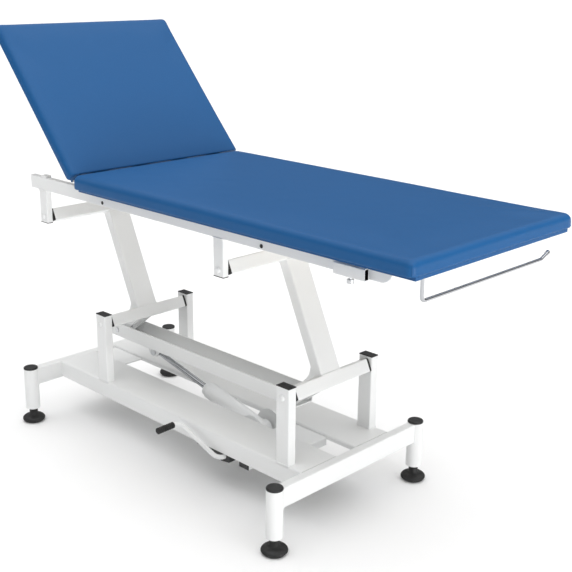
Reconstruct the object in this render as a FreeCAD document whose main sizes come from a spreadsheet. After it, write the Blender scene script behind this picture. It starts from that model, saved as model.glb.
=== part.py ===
"""Hydraulic examination couch: a tubular base, a parallel lift driven by one cylinder, and a two-part bed.

+X points to the foot end, +Y to the far side, +Z up. The origin is on the floor under the middle of the couch.
Lengths are millimetres. Places along X are given from the middle of the base.
"""
import FreeCAD, Part
import math
import os

import Sketcher

os.makedirs("parts", exist_ok=True)
doc = FreeCAD.newDocument("couch")
sheet = doc.addObject("Spreadsheet::Sheet", "Sizes")
Vector = FreeCAD.Vector

# Driving dimensions

SIZES = {
    "base_middle_x": -206.1,
    "post_reach_x": 597.5,
    "post_reach_y": 303.8,
    "post_diameter": 48.3,
    "post_wall": 3,
    "post_bottom": 49,
    "post_plug_height": 25,
    "post_cap_height": 6.7,
    "post_cap_round": 4.02,
    "foot_disc_diameter": 76,
    "foot_disc_height": 22,
    "foot_disc_rim": 8.8,
    "foot_collar_diameter": 28,
    "stem_diameter": 16,
    "stem_height": 45,
    "base_bottom": 133,
    "base_height": 59.8,
    "base_rail_inner": 40,
    "base_rail_outer": 189.4,
    "base_rail_wall": 3,
    "base_rail_corner": 8,
    "member_width": 30,
    "member_wall": 2.5,
    "tie_plate_length": 158.5,
    "plate_thickness": 5,
    "pump_plate_start": 315,
    "pump_plate_end": 470,
    "pump_plate_lip": 25,
    "pump_plate_bend": 4.5,
    "beam_x": 342,
    "beam_width": 40,
    "beam_height": 20,
    "beam_reach": 179,
    "upright_width": 50,
    "upright_depth": 30,
    "upright_wall": 2.5,
    "upright_top": 426.2,
    "cap_thickness": 3,
    "cap_plug": 8,
    "head_pivot_x": -334.9,
    "pivot_spacing": 844.8,
    "lower_pivot_z": 392.8,
    "bolt_diameter": 12,
    "bolt_head_diameter": 20,
    "bolt_head_height": 7,
    "bolt_dome_radius": 4.5,
    "bolt_shoulder_radius": 8.5,
    "bolt_shoulder_height": 4.2,
    "bolt_depth": 27,
    "arm_length": 384,
    "arm_lean": 24.4,
    "arm_tube_width": 40,
    "arm_tube_wall": 2.5,
    "arm_end_gap": 7.4,
    "column_width": 80,
    "column_depth": 36,
    "column_wall": 3,
    "lever_reach": 140.3,
    "lever_drop": 30.8,
    "lever_plate": 8,
    "lever_spread": 20,
    "lever_eye": 18,
    "lever_root_height": 66,
    "lever_curve": 45,
    "lever_shoulder_reach": 27,
    "lever_shoulder_rise": 8,
    "channel_width": 80,
    "channel_height": 50,
    "channel_wall": 3,
    "channel_corner": 5,
    "channel_below_pin": 24,
    "channel_head_end": 40,
    "channel_foot_end": 15,
    "cylinder_pin_x": -280,
    "cylinder_pin_drop": 19,
    "cylinder_pin_diameter": 16,
    "lug_half_gap": 10.5,
    "lug_plate": 6,
    "lug_eye": 15,
    "lug_length": 70,
    "lug_round": 10.5,
    "rod_diameter": 18,
    "rod_length": 350,
    "rod_eye": 15.5,
    "piston_diameter": 44,
    "piston_length": 20,
    "cylinder_diameter": 55,
    "cylinder_bore": 45,
    "cylinder_length": 264,
    "gland_length": 30,
    "gland_diameter": 46,
    "cylinder_base_x": 235,
    "cylinder_base_z": 145,
    "cylinder_eye": 27,
    "cylinder_eye_half": 20,
    "open_eye_gap": 9,
    "ear_radius": 57,
    "ear_thickness": 7,
    "ear_bottom": 118,
    "pedal_x": 261,
    "pedal_z": 124,
    "pedal_rod": 14,
    "pedal_bend": 24,
    "pedal_side": 206,
    "pedal_reach": 197,
    "pedal_rise": 52,
    "grip_length": 68,
    "grip_diameter": 20,
    "grip_droop": 12,
    "grip_round": 2.7,
    "bearing_length": 148,
    "bearing_near": 181,
    "bearing_width": 56,
    "bearing_overhang": 22.4,
    "bearing_nose_drop": 14,
    "bearing_heel_drop": 19.6,
    "bracket_width": 40,
    "bracket_wall": 2,
    "bracket_below_pivot": 20.1,
    "rail_above_pivot": 89,
    "rail_height": 41.5,
    "rail_thickness": 20,
    "rail_wall": 2,
    "rail_outer": 277.8,
    "rail_head_end": -557,
    "rail_foot_end": 947,
    "rail_nose": 38,
    "rail_hole": 6,
    "rail_hole_head": -167,
    "rail_hole_foot": 518,
    "cross_tube_width": 40,
    "cross_tube_height": 30,
    "cross_tube_wall": 2,
    "cross_tube_hinge_x": -212,
    "cross_tube_foot_x": 880,
    "board_thickness": 9,
    "board_half_width": 318,
    "board_inset": 8,
    "pad_half_width": 340,
    "pad_edge": 12,
    "seat_thickness": 42.8,
    "seat_foot_end": 1047.7,
    "hinge_x": -233,
    "hinge_depth": 10,
    "hinge_half_gap": 5,
    "leaf_thickness": 1.5,
    "leaf_width": 60,
    "leaf_inner": 80,
    "leaf_outer": 230,
    "knuckle_diameter": 6.4,
    "hinge_pin_diameter": 4,
    "backrest_angle": 48.7,
    "backrest_length": 577,
    "backrest_pad_thickness": 35.5,
    "buffer_x": -481,
    "buffer_length": 26,
    "buffer_gap": 0.3,
    "strut_low_x": 20,
    "strut_low_z": 60,
    "strut_high_x": 250,
    "strut_high_z": 68,
    "strut_pin": 8,
    "strut_eye": 10,
    "strut_tube_start": 4.8,
    "strut_tube_diameter": 18,
    "strut_tube_length": 168,
    "strut_rod_diameter": 10,
    "strut_rod_overlap": 60,
    "strut_open_gap": 7.2,
    "strut_ear_half": 10,
    "strut_ear_plate": 4,
    "sleeve_start": 778,
    "sleeve_length": 97,
    "sleeve_drop": 2.5025,
    "sleeve_height": 30,
    "sleeve_depth": 16,
    "sleeve_wall": 2,
    "screw_diameter": 8,
    "screw_head_diameter": 18,
    "screw_head_height": 10,
    "screw_gap": 5,
    "roll_bar_diameter": 8,
    "roll_bar_x": 1037,
    "roll_bar_near": 287,
    "roll_bar_far": 205,
    "roll_bar_drop": 52,
    "roll_bar_bend": 12,
    "roll_bar_tip": 27,
    "roll_bar_tip_rise": 11,
    "roll_cap_diameter": 11,
    "roll_cap_length": 10,
    "running_fit": 0.05,
    "open_fit": 0.4,
    "part_gap": 0.3,
}


class Dim:
    """A size with its number and the sheet expression that gives it."""

    def __init__(self, value, text=None):
        self.value = float(value)
        self.text = text if text is not None else repr(float(value))

    def __add__(self, other):
        other = dim(other)
        return Dim(self.value + other.value, f"({self.text} + {other.text})")

    def __sub__(self, other):
        other = dim(other)
        return Dim(self.value - other.value, f"({self.text} - {other.text})")

    def __mul__(self, other):
        other = dim(other)
        return Dim(self.value * other.value, f"({self.text} * {other.text})")

    def __truediv__(self, other):
        other = dim(other)
        return Dim(self.value / other.value, f"({self.text} / {other.text})")

    def __neg__(self):
        return Dim(-self.value, f"(-1 * {self.text})")

    __radd__ = __add__
    __rmul__ = __mul__

    def __rsub__(self, other):
        return dim(other) - self


def dim(value):
    return value if isinstance(value, Dim) else Dim(value)


def cosine(angle):
    return Dim(math.cos(math.radians(angle.value)), f"cos({angle.text})")


def sine(angle):
    return Dim(math.sin(math.radians(angle.value)), f"sin({angle.text})")


def slope_angle(rise, run):
    return Dim(math.degrees(math.atan2(rise.value, run.value)), f"(atan2({rise.text}; {run.text}) / 1 deg)")


def distance(run, rise):
    return Dim(math.hypot(run.value, rise.value), f"sqrt({run.text}^2 + {rise.text}^2)")


class Named:
    """The sheet's sizes, read by name."""


d = Named()
for row, (name, number) in enumerate(SIZES.items(), start=1):
    sheet.set(f"A{row}", name)
    sheet.set(f"B{row}", str(number))
    sheet.setAlias(f"B{row}", name)
    setattr(d, name, Dim(number, f"Sizes.{name}"))
doc.recompute()


def bind(obj, prop, size):
    obj.setExpression(prop, dim(size).text)


# Places worked out from the driving dimensions

base_top = d.base_bottom + d.base_height
foot_pivot_x = d.head_pivot_x + d.pivot_spacing
member_half = d.member_width / 2
rail_between = d.post_reach_x - member_half
upright_y = d.base_rail_outer - d.upright_depth / 2
upright_inner = d.base_rail_outer - d.upright_depth
upper_offset_x = -(d.arm_length * sine(d.arm_lean))
upper_pivot_z = d.lower_pivot_z + d.arm_length * cosine(d.arm_lean)
lever_pin_x = -(d.lever_reach * cosine(d.arm_lean)) + d.lever_drop * sine(d.arm_lean)
lever_pin_z = -(d.lever_reach * sine(d.arm_lean)) - d.lever_drop * cosine(d.arm_lean)
pin_z = d.lower_pivot_z + lever_pin_z
head_pin_x = d.head_pivot_x + lever_pin_x
foot_pin_x = foot_pivot_x + lever_pin_x
channel_bottom = pin_z - d.channel_below_pin
cylinder_pin_z = channel_bottom - d.cylinder_pin_drop
stroke_x = d.cylinder_base_x - d.cylinder_pin_x
stroke_z = cylinder_pin_z - d.cylinder_base_z
cylinder_angle = slope_angle(stroke_z, stroke_x)
cylinder_reach = distance(stroke_x, stroke_z)
rail_bottom = upper_pivot_z + d.rail_above_pivot
rail_top = rail_bottom + d.rail_height
rail_inner = d.rail_outer - d.rail_thickness
sleeve_bottom = rail_bottom - d.sleeve_drop
bracket_bottom = upper_pivot_z - d.bracket_below_pivot
lying_surface = rail_top + d.board_thickness + d.seat_thickness
hinge_z = lying_surface - d.hinge_depth
backrest_bottom = d.hinge_depth - d.backrest_pad_thickness - d.board_thickness
cos_back = cosine(d.backrest_angle)
sin_back = sine(d.backrest_angle)


# Ways to make a piece. Places nearer than TOUCH are the same, and ALIGNED is the cosine that counts as parallel.

TOUCH = 0.01
ALIGNED = 0.999


def new_body(name):
    return doc.addObject("PartDesign::Body", name)


def new_sketch(body, name, plane):
    sketch = body.newObject("Sketcher::SketchObject", name)
    origin = next(feature for feature in body.Origin.OriginFeatures if feature.Role == plane)
    sketch.AttachmentSupport = [(origin, "")]
    sketch.MapMode = "FlatFace"
    return sketch


def add_outline(sketch, points):
    """Closes a polygon whose corners are held at the given places."""
    points = [(dim(across), dim(up)) for across, up in points]
    first = sketch.GeometryCount
    count = len(points)
    for index, (across, up) in enumerate(points):
        end_across, end_up = points[(index + 1) % count]
        start = Vector(across.value, up.value, 0)
        end = Vector(end_across.value, end_up.value, 0)
        sketch.addGeometry(Part.LineSegment(start, end))
    for index, (across, up) in enumerate(points):
        line = first + index
        following = first + (index + 1) % count
        sketch.addConstraint(Sketcher.Constraint("Coincident", line, 2, following, 1))
        for kind, size in (("DistanceX", across), ("DistanceY", up)):
            place = sketch.addConstraint(Sketcher.Constraint(kind, -1, 1, line, 1, size.value))
            sketch.setExpression(f"Constraints[{place}]", size.text)


def box_outline(low_across, low_up, high_across, high_up):
    return [(low_across, low_up), (high_across, low_up), (high_across, high_up), (low_across, high_up)]


def centred_outline(width, height):
    return box_outline(-(width / 2), -(height / 2), width / 2, height / 2)


def pad(body, sketch, length, middle=False, back=False):
    feature = body.newObject("PartDesign::Pad", "Pad")
    feature.Profile = sketch
    bind(feature, "Length", length)
    feature.Midplane = middle
    feature.Reversed = back
    doc.recompute()
    return feature


def revolve(body, sketch, axis="V_Axis"):
    feature = body.newObject("PartDesign::Revolution", "Revolution")
    feature.Profile = sketch
    feature.ReferenceAxis = (sketch, [axis])
    feature.Angle = 360
    doc.recompute()
    return feature


def fillet(body, radius, chosen):
    """Rounds the straight and round edges of the body's last feature that a test picks."""
    base = body.Tip
    names = [f"Edge{n}" for n, edge in enumerate(base.Shape.Edges, start=1) if chosen(edge)]
    feature = body.newObject("PartDesign::Fillet", "Fillet")
    feature.Base = (base, names)
    bind(feature, "Radius", radius)
    doc.recompute()
    return feature


def runs_along(edge, axis):
    straight = edge.Curve.TypeId == "Part::GeomLine"
    return straight and abs(getattr(edge.tangentAt(edge.FirstParameter), axis)) > ALIGNED


TURNS = {
    "Z": FreeCAD.Rotation(),
    "Y": FreeCAD.Rotation(Vector(1, 0, 0), -90),
}


def cylinder(body, kind, radius, length, start, axis):
    """Adds or cuts a cylinder that runs from its start along the axis."""
    feature = body.newObject(f"PartDesign::{kind}Cylinder", "Cylinder")
    bind(feature, "Radius", radius)
    bind(feature, "Height", length)
    feature.Placement = FreeCAD.Placement(Vector(), TURNS[axis])
    for letter, size in zip("xyz", start):
        bind(feature, f"Placement.Base.{letter}", size)
    doc.recompute()
    return feature


def block(body, kind, lengths, start):
    """Adds or cuts a box that runs from its lowest corner."""
    feature = body.newObject(f"PartDesign::{kind}Box", "Block")
    for prop, size in zip(("Length", "Width", "Height"), lengths):
        bind(feature, prop, size)
    for letter, size in zip("xyz", start):
        bind(feature, f"Placement.Base.{letter}", size)
    doc.recompute()
    return feature


def place(body, along, across, up, turn=None):
    """Puts a body at a place measured from the middle of the base, turned about +Y."""
    if turn is not None:
        body.Placement = FreeCAD.Placement(Vector(), FreeCAD.Rotation(Vector(0, 1, 0), 10))
        bind(body, "Placement.Rotation.Angle", turn)
    bind(body, "Placement.Base.x", d.base_middle_x + along)
    bind(body, "Placement.Base.y", across)
    bind(body, "Placement.Base.z", up)
    doc.recompute()
    return body


def tube(name, axis, width, height, length, wall, corner=None):
    """A rectangular tube with rounded long edges, centred on its own origin."""
    plane = {"X": "YZ_Plane", "Y": "XZ_Plane", "Z": "XY_Plane"}[axis]
    body = new_body(name)
    sketch = new_sketch(body, f"{name}_section", plane)
    add_outline(sketch, centred_outline(width, height))
    add_outline(sketch, centred_outline(width - wall * 2, height - wall * 2))
    pad(body, sketch, length, middle=True)
    reach = (width.value / 2, height.value / 2)
    sides = {"X": "yz", "Y": "xz", "Z": "xy"}[axis]

    def outer(edge):
        middle = edge.CenterOfMass
        at_corner = all(abs(abs(getattr(middle, side)) - size) < TOUCH for side, size in zip(sides, reach))
        return runs_along(edge, axis.lower()) and at_corner

    fillet(body, corner if corner is not None else wall * 1.5, outer)
    return body


def mirrored(source, name):
    """The same piece on the far side."""
    feature = doc.addObject("Part::Mirroring", name)
    feature.Source = source
    feature.Normal = Vector(0, 1, 0)
    return feature


def group(name, members):
    """Like pieces that share one node."""
    feature = doc.addObject("Part::Compound", name)
    feature.Links = members
    return feature


def bent_rod(points, radius, bend):
    """A round rod through the points, with an arc at each bend."""
    path = []
    start = points[0]
    for before, corner, after in zip(points, points[1:], points[2:]):
        inward = (before - corner).normalize()
        outward = (after - corner).normalize()
        half_turn = inward.getAngle(outward) / 2
        setback = bend / math.tan(half_turn)
        first = corner + inward * setback
        last = corner + outward * setback
        bisector = (inward + outward).normalize()
        centre = corner + bisector * (bend / math.sin(half_turn))
        middle = centre - bisector * bend
        path.append(Part.LineSegment(start, first).toShape())
        path.append(Part.Arc(first, middle, last).toShape())
        start = last
    path.append(Part.LineSegment(start, points[-1]).toShape())
    spine = Part.Wire(path)
    ring = Part.Wire([Part.Circle(points[0], points[1] - points[0], radius).toShape()])
    return spine.makePipeShell([ring], True, False)


def shape_feature(name, shape):
    feature = doc.addObject("Part::Feature", name)
    feature.Shape = shape
    return feature


NODES = {}


def keep(name, feature):
    """Records a finished sub-part under the name of its file."""
    feature.Label = name
    NODES[name] = feature
    return feature


# Base

def base_rail():
    body = tube("base_rail", "X", d.base_rail_outer - d.base_rail_inner, d.base_height, rail_between * 2,
                d.base_rail_wall, d.base_rail_corner)
    middle_y = (d.base_rail_outer + d.base_rail_inner) / 2
    return place(body, 0, -middle_y, d.base_bottom + d.base_height / 2)


def cross_member(name, along):
    body = tube(name, "Y", d.member_width, d.base_height, d.post_reach_y * 2, d.member_wall)
    for side in (-1, 1):
        cylinder(body, "Subtractive", d.post_diameter / 2, d.base_height * 2,
                 (0, d.post_reach_y * side, -d.base_height), "Z")
    return place(body, along, 0, d.base_bottom + d.base_height / 2)


def corner_post(name, along):
    """A round tube whose closed lower end takes the levelling stem."""
    body = new_body(name)
    sketch = new_sketch(body, f"{name}_section", "XZ_Plane")
    outer = d.post_diameter / 2
    inner = outer - d.post_wall
    bore = d.stem_diameter / 2 + d.running_fit
    height = base_top - d.post_bottom
    add_outline(sketch, [(bore, 0), (outer, 0), (outer, height), (inner, height), (inner, d.post_plug_height),
                         (bore, d.post_plug_height)])
    revolve(body, sketch)
    return place(body, along, -d.post_reach_y, d.post_bottom)


def post_cap(name, along):
    body = new_body(name)
    sketch = new_sketch(body, f"{name}_section", "XZ_Plane")
    outer = d.post_diameter / 2
    inner = outer - d.post_wall
    add_outline(sketch, [(0, -d.cap_plug), (inner, -d.cap_plug), (inner, 0), (outer, 0),
                         (outer, d.post_cap_height), (0, d.post_cap_height)])
    revolve(body, sketch)
    top = d.post_cap_height.value
    fillet(body, d.post_cap_round, lambda edge: abs(edge.BoundBox.ZMin - top) < TOUCH
           and edge.BoundBox.XLength > outer.value)
    return place(body, along, -d.post_reach_y, base_top)


def levelling_foot(name, along):
    """A swivel disc on a threaded stem, with a collar just under the post."""
    body = new_body(name)
    sketch = new_sketch(body, f"{name}_section", "XZ_Plane")
    disc = d.foot_disc_diameter / 2
    collar = d.foot_collar_diameter / 2
    stem = d.stem_diameter / 2
    collar_top = d.post_bottom - d.part_gap
    stem_top = d.post_bottom + d.stem_height
    add_outline(sketch, [(0, 0), (disc, 0), (disc, d.foot_disc_rim), (collar, d.foot_disc_height),
                         (collar, collar_top), (stem, collar_top), (stem, stem_top), (0, stem_top)])
    revolve(body, sketch)
    return place(body, along, -d.post_reach_y, 0)


def upright(name, along):
    height = d.upright_top - base_top - d.cap_thickness
    body = tube(name, "Z", d.upright_width, d.upright_depth, height, d.upright_wall)
    middle_z = base_top + height / 2
    cylinder(body, "Subtractive", d.bolt_diameter / 2, d.upright_depth * 2,
             (0, -d.upright_depth, d.lower_pivot_z - middle_z), "Y")
    return place(body, along, -upright_y, middle_z)


def tube_cap(name, width, depth, wall, upward=True):
    """A push-in cap for the end of a rectangular tube, with its plug inside the tube."""
    body = new_body(name)
    plate = new_sketch(body, f"{name}_plate", "XY_Plane")
    add_outline(plate, centred_outline(width, depth))
    pad(body, plate, d.cap_thickness, back=not upward)
    face = d.cap_thickness.value if upward else -d.cap_thickness.value
    fillet(body, d.cap_thickness / 2, lambda edge: edge.BoundBox.ZLength < TOUCH
           and abs(edge.BoundBox.ZMin - face) < TOUCH)
    plug = new_sketch(body, f"{name}_plug", "XY_Plane")
    add_outline(plug, centred_outline(width - wall * 2, depth - wall * 2))
    pad(body, plug, d.cap_plug, back=upward)
    return body


def tie_plate():
    body = new_body("tie_plate")
    block(body, "Additive", (d.tie_plate_length, d.base_rail_inner * 2, d.plate_thickness),
          (0, -d.base_rail_inner, 0))
    top = base_top - d.base_rail_corner
    return place(body, -rail_between, 0, top - d.plate_thickness)


def pump_plate():
    """A folded plate between the rails, with a lip down at each end."""
    body = new_body("pump_plate")
    sketch = new_sketch(body, "pump_plate_section", "XZ_Plane")
    length = d.pump_plate_end - d.pump_plate_start
    skin = d.plate_thickness
    lip = -d.pump_plate_lip
    add_outline(sketch, [(0, lip), (0, 0), (length, 0), (length, lip), (length - skin, lip),
                         (length - skin, -skin), (skin, -skin), (skin, lip)])
    pad(body, sketch, d.base_rail_inner * 2, middle=True)
    fillet(body, d.pump_plate_bend, lambda edge: runs_along(edge, "y") and abs(edge.CenterOfMass.z) < TOUCH)
    return place(body, d.pump_plate_start, 0, base_top - d.base_rail_corner)


def crossbeam():
    body = tube("crossbeam", "Y", d.beam_width, d.beam_height, (d.beam_reach - d.cap_thickness) * 2, d.member_wall)
    return place(body, d.beam_x, 0, d.base_bottom - d.beam_height / 2)


def crossbeam_cap():
    body = tube_cap("crossbeam_cap", d.beam_width, d.beam_height, d.member_wall)
    body.Placement = FreeCAD.Placement(Vector(), FreeCAD.Rotation(Vector(1, 0, 0), 90))
    return place(body, d.beam_x, -(d.beam_reach - d.cap_thickness), d.base_bottom - d.beam_height / 2)


def cylinder_ears():
    """Two round cheeks on the rails' inner faces, with the pin through them."""
    body = new_body("cylinder_ears")
    inner = d.base_rail_inner - d.ear_thickness
    cylinder(body, "Additive", d.ear_radius, d.base_rail_inner * 2, (0, -d.base_rail_inner, 0), "Y")
    block(body, "Subtractive", (d.ear_radius * 3, inner * 2, d.ear_radius * 3),
          (d.ear_radius * -1.5, -inner, d.ear_radius * -1.5))
    drop = d.cylinder_base_z - d.ear_bottom
    block(body, "Subtractive", (d.ear_radius * 3, d.base_rail_inner * 3, d.ear_radius),
          (d.ear_radius * -1.5, d.base_rail_inner * -1.5, -d.ear_radius - drop))
    cylinder(body, "Additive", d.cylinder_pin_diameter / 2, d.base_rail_inner * 2, (0, -d.base_rail_inner, 0), "Y")
    return place(body, d.cylinder_base_x, 0, d.cylinder_base_z)


def pedal_bearing():
    """A wedge-shaped block under the near rail that carries the pedal's shaft."""
    body = new_body("pedal_bearing")
    sketch = new_sketch(body, "pedal_bearing_side", "XZ_Plane")
    top = d.base_bottom - d.pedal_z
    end = d.bearing_overhang
    add_outline(sketch, [(end - d.bearing_length, top), (end, top), (end, -d.bearing_nose_drop),
                         (-d.pedal_rod, -d.bearing_heel_drop), (end - d.bearing_length, 0)])
    pad(body, sketch, d.bearing_width, back=True)
    fillet(body, d.pedal_rod / 3, lambda edge: runs_along(edge, "y") and edge.CenterOfMass.z < -1)
    cylinder(body, "Subtractive", d.pedal_rod / 2 + d.running_fit, d.bearing_width * 2,
             (0, d.bearing_width * -0.5, 0), "Y")
    return place(body, d.pedal_x, -d.bearing_near, d.pedal_z)


def pivot_bolt(name, along, face, up, depth):
    """A domed bolt whose head sits on the given near face, pointing inward."""
    body = new_body(name)
    sketch = new_sketch(body, f"{name}_section", "XY_Plane")
    head = d.bolt_head_diameter / 2
    shank = d.bolt_diameter / 2
    rise = d.bolt_head_height
    add_outline(sketch, [(0, -rise), (d.bolt_dome_radius, -rise),
                         (d.bolt_shoulder_radius, -d.bolt_shoulder_height), (head, 0), (shank, 0), (shank, depth),
                         (0, depth)])
    revolve(body, sketch)
    return place(body, along, -face, up)


# Lift

def arm(prefix, pivot_x, upper_fit):
    """One lift arm: its pieces are made upright at the lower pivot and leaned over together."""
    lean = -d.arm_lean
    half = d.arm_tube_width / 2
    ends = {"lower": (upright_inner, Dim(0)), "upper": (rail_inner, d.arm_length)}
    plugs = []
    for level, (face, up) in ends.items():
        reach = face - d.arm_end_gap
        beam = tube(f"{prefix}_{level}_tube", "Y", d.arm_tube_width, d.arm_tube_width, reach * 2, d.arm_tube_wall)
        level_x = up * sine(lean)
        level_z = up * cosine(lean)
        place(beam, pivot_x + level_x, 0, d.lower_pivot_z + level_z, lean)
        keep(f"{prefix}_{level}_tube", beam)
        plug = arm_plug(f"{prefix}_{level}_plug", d.running_fit if level == "lower" else upper_fit)
        place(plug, pivot_x + level_x, -reach, d.lower_pivot_z + level_z, lean)
        plugs += [plug, mirrored(plug, f"{prefix}_{level}_plug_far")]
    keep(f"{prefix}_plugs", group(f"{prefix}_plugs", plugs))
    height = d.arm_length - half * 2
    column = tube(f"{prefix}_column", "Z", d.column_depth, d.column_width, height, d.column_wall)
    middle = d.arm_length / 2
    place(column, pivot_x + middle * sine(lean), 0, d.lower_pivot_z + middle * cosine(lean), lean)
    keep(f"{prefix}_column", column)
    keep(f"{prefix}_levers", place(lever_pair(f"{prefix}_levers", upper_fit), pivot_x, 0, d.lower_pivot_z, lean))


def arm_plug(name, fit):
    """A black end plug with a flange that fills the gap beside the tube."""
    body = new_body(name)
    flange = new_sketch(body, f"{name}_flange", "XZ_Plane")
    add_outline(flange, centred_outline(d.arm_tube_width, d.arm_tube_width))
    pad(body, flange, d.arm_end_gap - d.part_gap)
    fillet(body, d.arm_tube_wall * 1.5, lambda edge: runs_along(edge, "y"))
    core = new_sketch(body, f"{name}_core", "XZ_Plane")
    inside = d.arm_tube_width - d.arm_tube_wall * 2
    add_outline(core, centred_outline(inside, inside))
    pad(body, core, d.bolt_depth, back=True)
    cylinder(body, "Subtractive", d.bolt_diameter / 2 + fit, d.bolt_depth * 3, (0, d.bolt_depth * -1.5, 0), "Y")
    return body


def lever_pair(name, fit):
    """Two plates that sweep from the column's head face down to the eye of the link channel's pin."""
    body = new_body(name)
    sketch = new_sketch(body, f"{name}_side", "XZ_Plane")
    half = d.arm_tube_width / 2
    face = d.column_depth / 2
    shoulder = half + d.lever_shoulder_rise
    add_outline(sketch, [(-face, half), (-face, d.lever_root_height),
                         (-(face + d.lever_shoulder_reach), shoulder),
                         (-d.lever_reach, d.lever_eye - d.lever_drop),
                         (-d.lever_reach, -d.lever_eye - d.lever_drop),
                         (-half, -half), (-half, half)])
    outer = d.lever_spread + d.lever_plate
    pad(body, sketch, outer * 2, middle=True)
    fillet(body, d.lever_curve, lambda edge: runs_along(edge, "y")
           and abs(edge.CenterOfMass.z - shoulder.value) < TOUCH)
    cylinder(body, "Additive", d.lever_eye, outer * 2, (-d.lever_reach, -outer, -d.lever_drop), "Y")
    cylinder(body, "Subtractive", d.bolt_diameter / 2 + fit, outer * 4,
             (-d.lever_reach, outer * -2, -d.lever_drop), "Y")
    block(body, "Subtractive", (d.lever_reach * 2, d.lever_spread * 2, d.lever_reach * 2),
          (d.lever_reach * -1.5, -d.lever_spread, -d.lever_reach))
    return body


def link_channel():
    """An open-topped channel that ties both levers, with the cylinder's lug under it."""
    body = new_body("link_channel")
    sketch = new_sketch(body, "link_channel_section", "YZ_Plane")
    half = d.channel_width / 2
    inner = half - d.channel_wall
    add_outline(sketch, [(-half, 0), (half, 0), (half, d.channel_height), (inner, d.channel_height),
                         (inner, d.channel_wall), (-inner, d.channel_wall), (-inner, d.channel_height),
                         (-half, d.channel_height)])
    length = d.pivot_spacing + d.channel_head_end + d.channel_foot_end
    pad(body, sketch, length)
    fillet(body, d.channel_corner, lambda edge: runs_along(edge, "x") and abs(edge.CenterOfMass.z) < TOUCH)
    fillet(body, d.channel_corner - d.channel_wall, lambda edge: runs_along(edge, "x")
           and abs(edge.CenterOfMass.z - d.channel_wall.value) < TOUCH)
    for pin in (d.channel_head_end, d.channel_head_end + d.pivot_spacing):
        cylinder(body, "Subtractive", d.bolt_diameter / 2, d.channel_width * 2,
                 (pin, -d.channel_width, d.channel_below_pin), "Y")
    lug_x = d.cylinder_pin_x - head_pin_x + d.channel_head_end
    lug = new_sketch(body, "link_channel_lug", "XZ_Plane")
    eye = d.lug_eye
    low = -d.cylinder_pin_drop - eye
    add_outline(lug, [(lug_x - d.lug_length / 2, 0), (lug_x - eye, low), (lug_x + eye, low),
                      (lug_x + d.lug_length / 2, 0)])
    spread = d.lug_half_gap + d.lug_plate
    pad(body, lug, spread * 2, middle=True)
    fillet(body, d.lug_round, lambda edge: runs_along(edge, "y") and abs(edge.CenterOfMass.z - low.value) < TOUCH)
    block(body, "Subtractive", (d.lug_length * 2, d.lug_half_gap * 2, -low),
          (lug_x - d.lug_length, -d.lug_half_gap, low))
    cylinder(body, "Subtractive", d.cylinder_pin_diameter / 2, spread * 4,
             (lug_x, spread * -2, -d.cylinder_pin_drop), "Y")
    return place(body, head_pin_x - d.channel_head_end, 0, channel_bottom)


PIN_HEAD_WIDTH = 1.45
PIN_HEAD_HEIGHT = 0.6


def headed_pin(name, along, up, radius, half_length):
    """A pin with a round head on each outer side of what it holds. The heads are shares of the pin's radius."""
    body = new_body(name)
    sketch = new_sketch(body, f"{name}_section", "XY_Plane")
    head = radius * PIN_HEAD_WIDTH
    tall = radius * PIN_HEAD_HEIGHT
    end = half_length + tall
    add_outline(sketch, [(0, -end), (head, -end), (head, -half_length), (radius, -half_length),
                         (radius, half_length), (head, half_length), (head, end), (0, end)])
    revolve(body, sketch)
    return place(body, along, 0, up)


def piston_rod():
    """A chrome rod with an eye at the channel's lug and a piston inside the cylinder."""
    body = new_body("piston_rod")
    sketch = new_sketch(body, "piston_rod_section", "XZ_Plane")
    rod = d.rod_diameter / 2
    piston = d.piston_diameter / 2
    shoulder = d.rod_length - d.piston_length
    add_outline(sketch, [(0, 0), (0, rod), (shoulder, rod), (shoulder, piston), (d.rod_length, piston),
                         (d.rod_length, 0)])
    revolve(body, sketch, "H_Axis")
    half = d.lug_half_gap - d.part_gap
    cylinder(body, "Additive", d.rod_eye, half * 2, (0, -half, 0), "Y")
    cylinder(body, "Subtractive", d.cylinder_pin_diameter / 2 + d.running_fit, half * 6, (0, half * -3, 0), "Y")
    return place(body, d.cylinder_pin_x, 0, cylinder_pin_z, cylinder_angle)


def cylinder_tube():
    """The hydraulic cylinder: gland, bored barrel and an eye round the ears' pin."""
    body = new_body("cylinder_tube")
    sketch = new_sketch(body, "cylinder_tube_section", "XZ_Plane")
    start = -d.cylinder_length
    outer = d.cylinder_diameter / 2
    gland = d.gland_diameter / 2
    fit = d.rod_diameter / 2 + d.running_fit
    bore = d.cylinder_bore / 2
    step = start + d.gland_length / 2
    floor = -d.cylinder_eye
    add_outline(sketch, [(start, fit), (start, gland), (step, gland), (step, outer), (0, outer), (0, 0),
                         (floor, 0), (floor, bore),
                         (start + d.gland_length, bore), (start + d.gland_length, fit)])
    revolve(body, sketch, "H_Axis")
    cylinder(body, "Additive", d.cylinder_eye, d.cylinder_eye_half * 2, (0, -d.cylinder_eye_half, 0), "Y")
    cylinder(body, "Subtractive", d.cylinder_pin_diameter / 2 + d.open_eye_gap, d.cylinder_diameter * 2,
             (0, -d.cylinder_diameter, 0), "Y")
    return place(body, d.cylinder_base_x, 0, d.cylinder_base_z, cylinder_angle)


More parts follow.
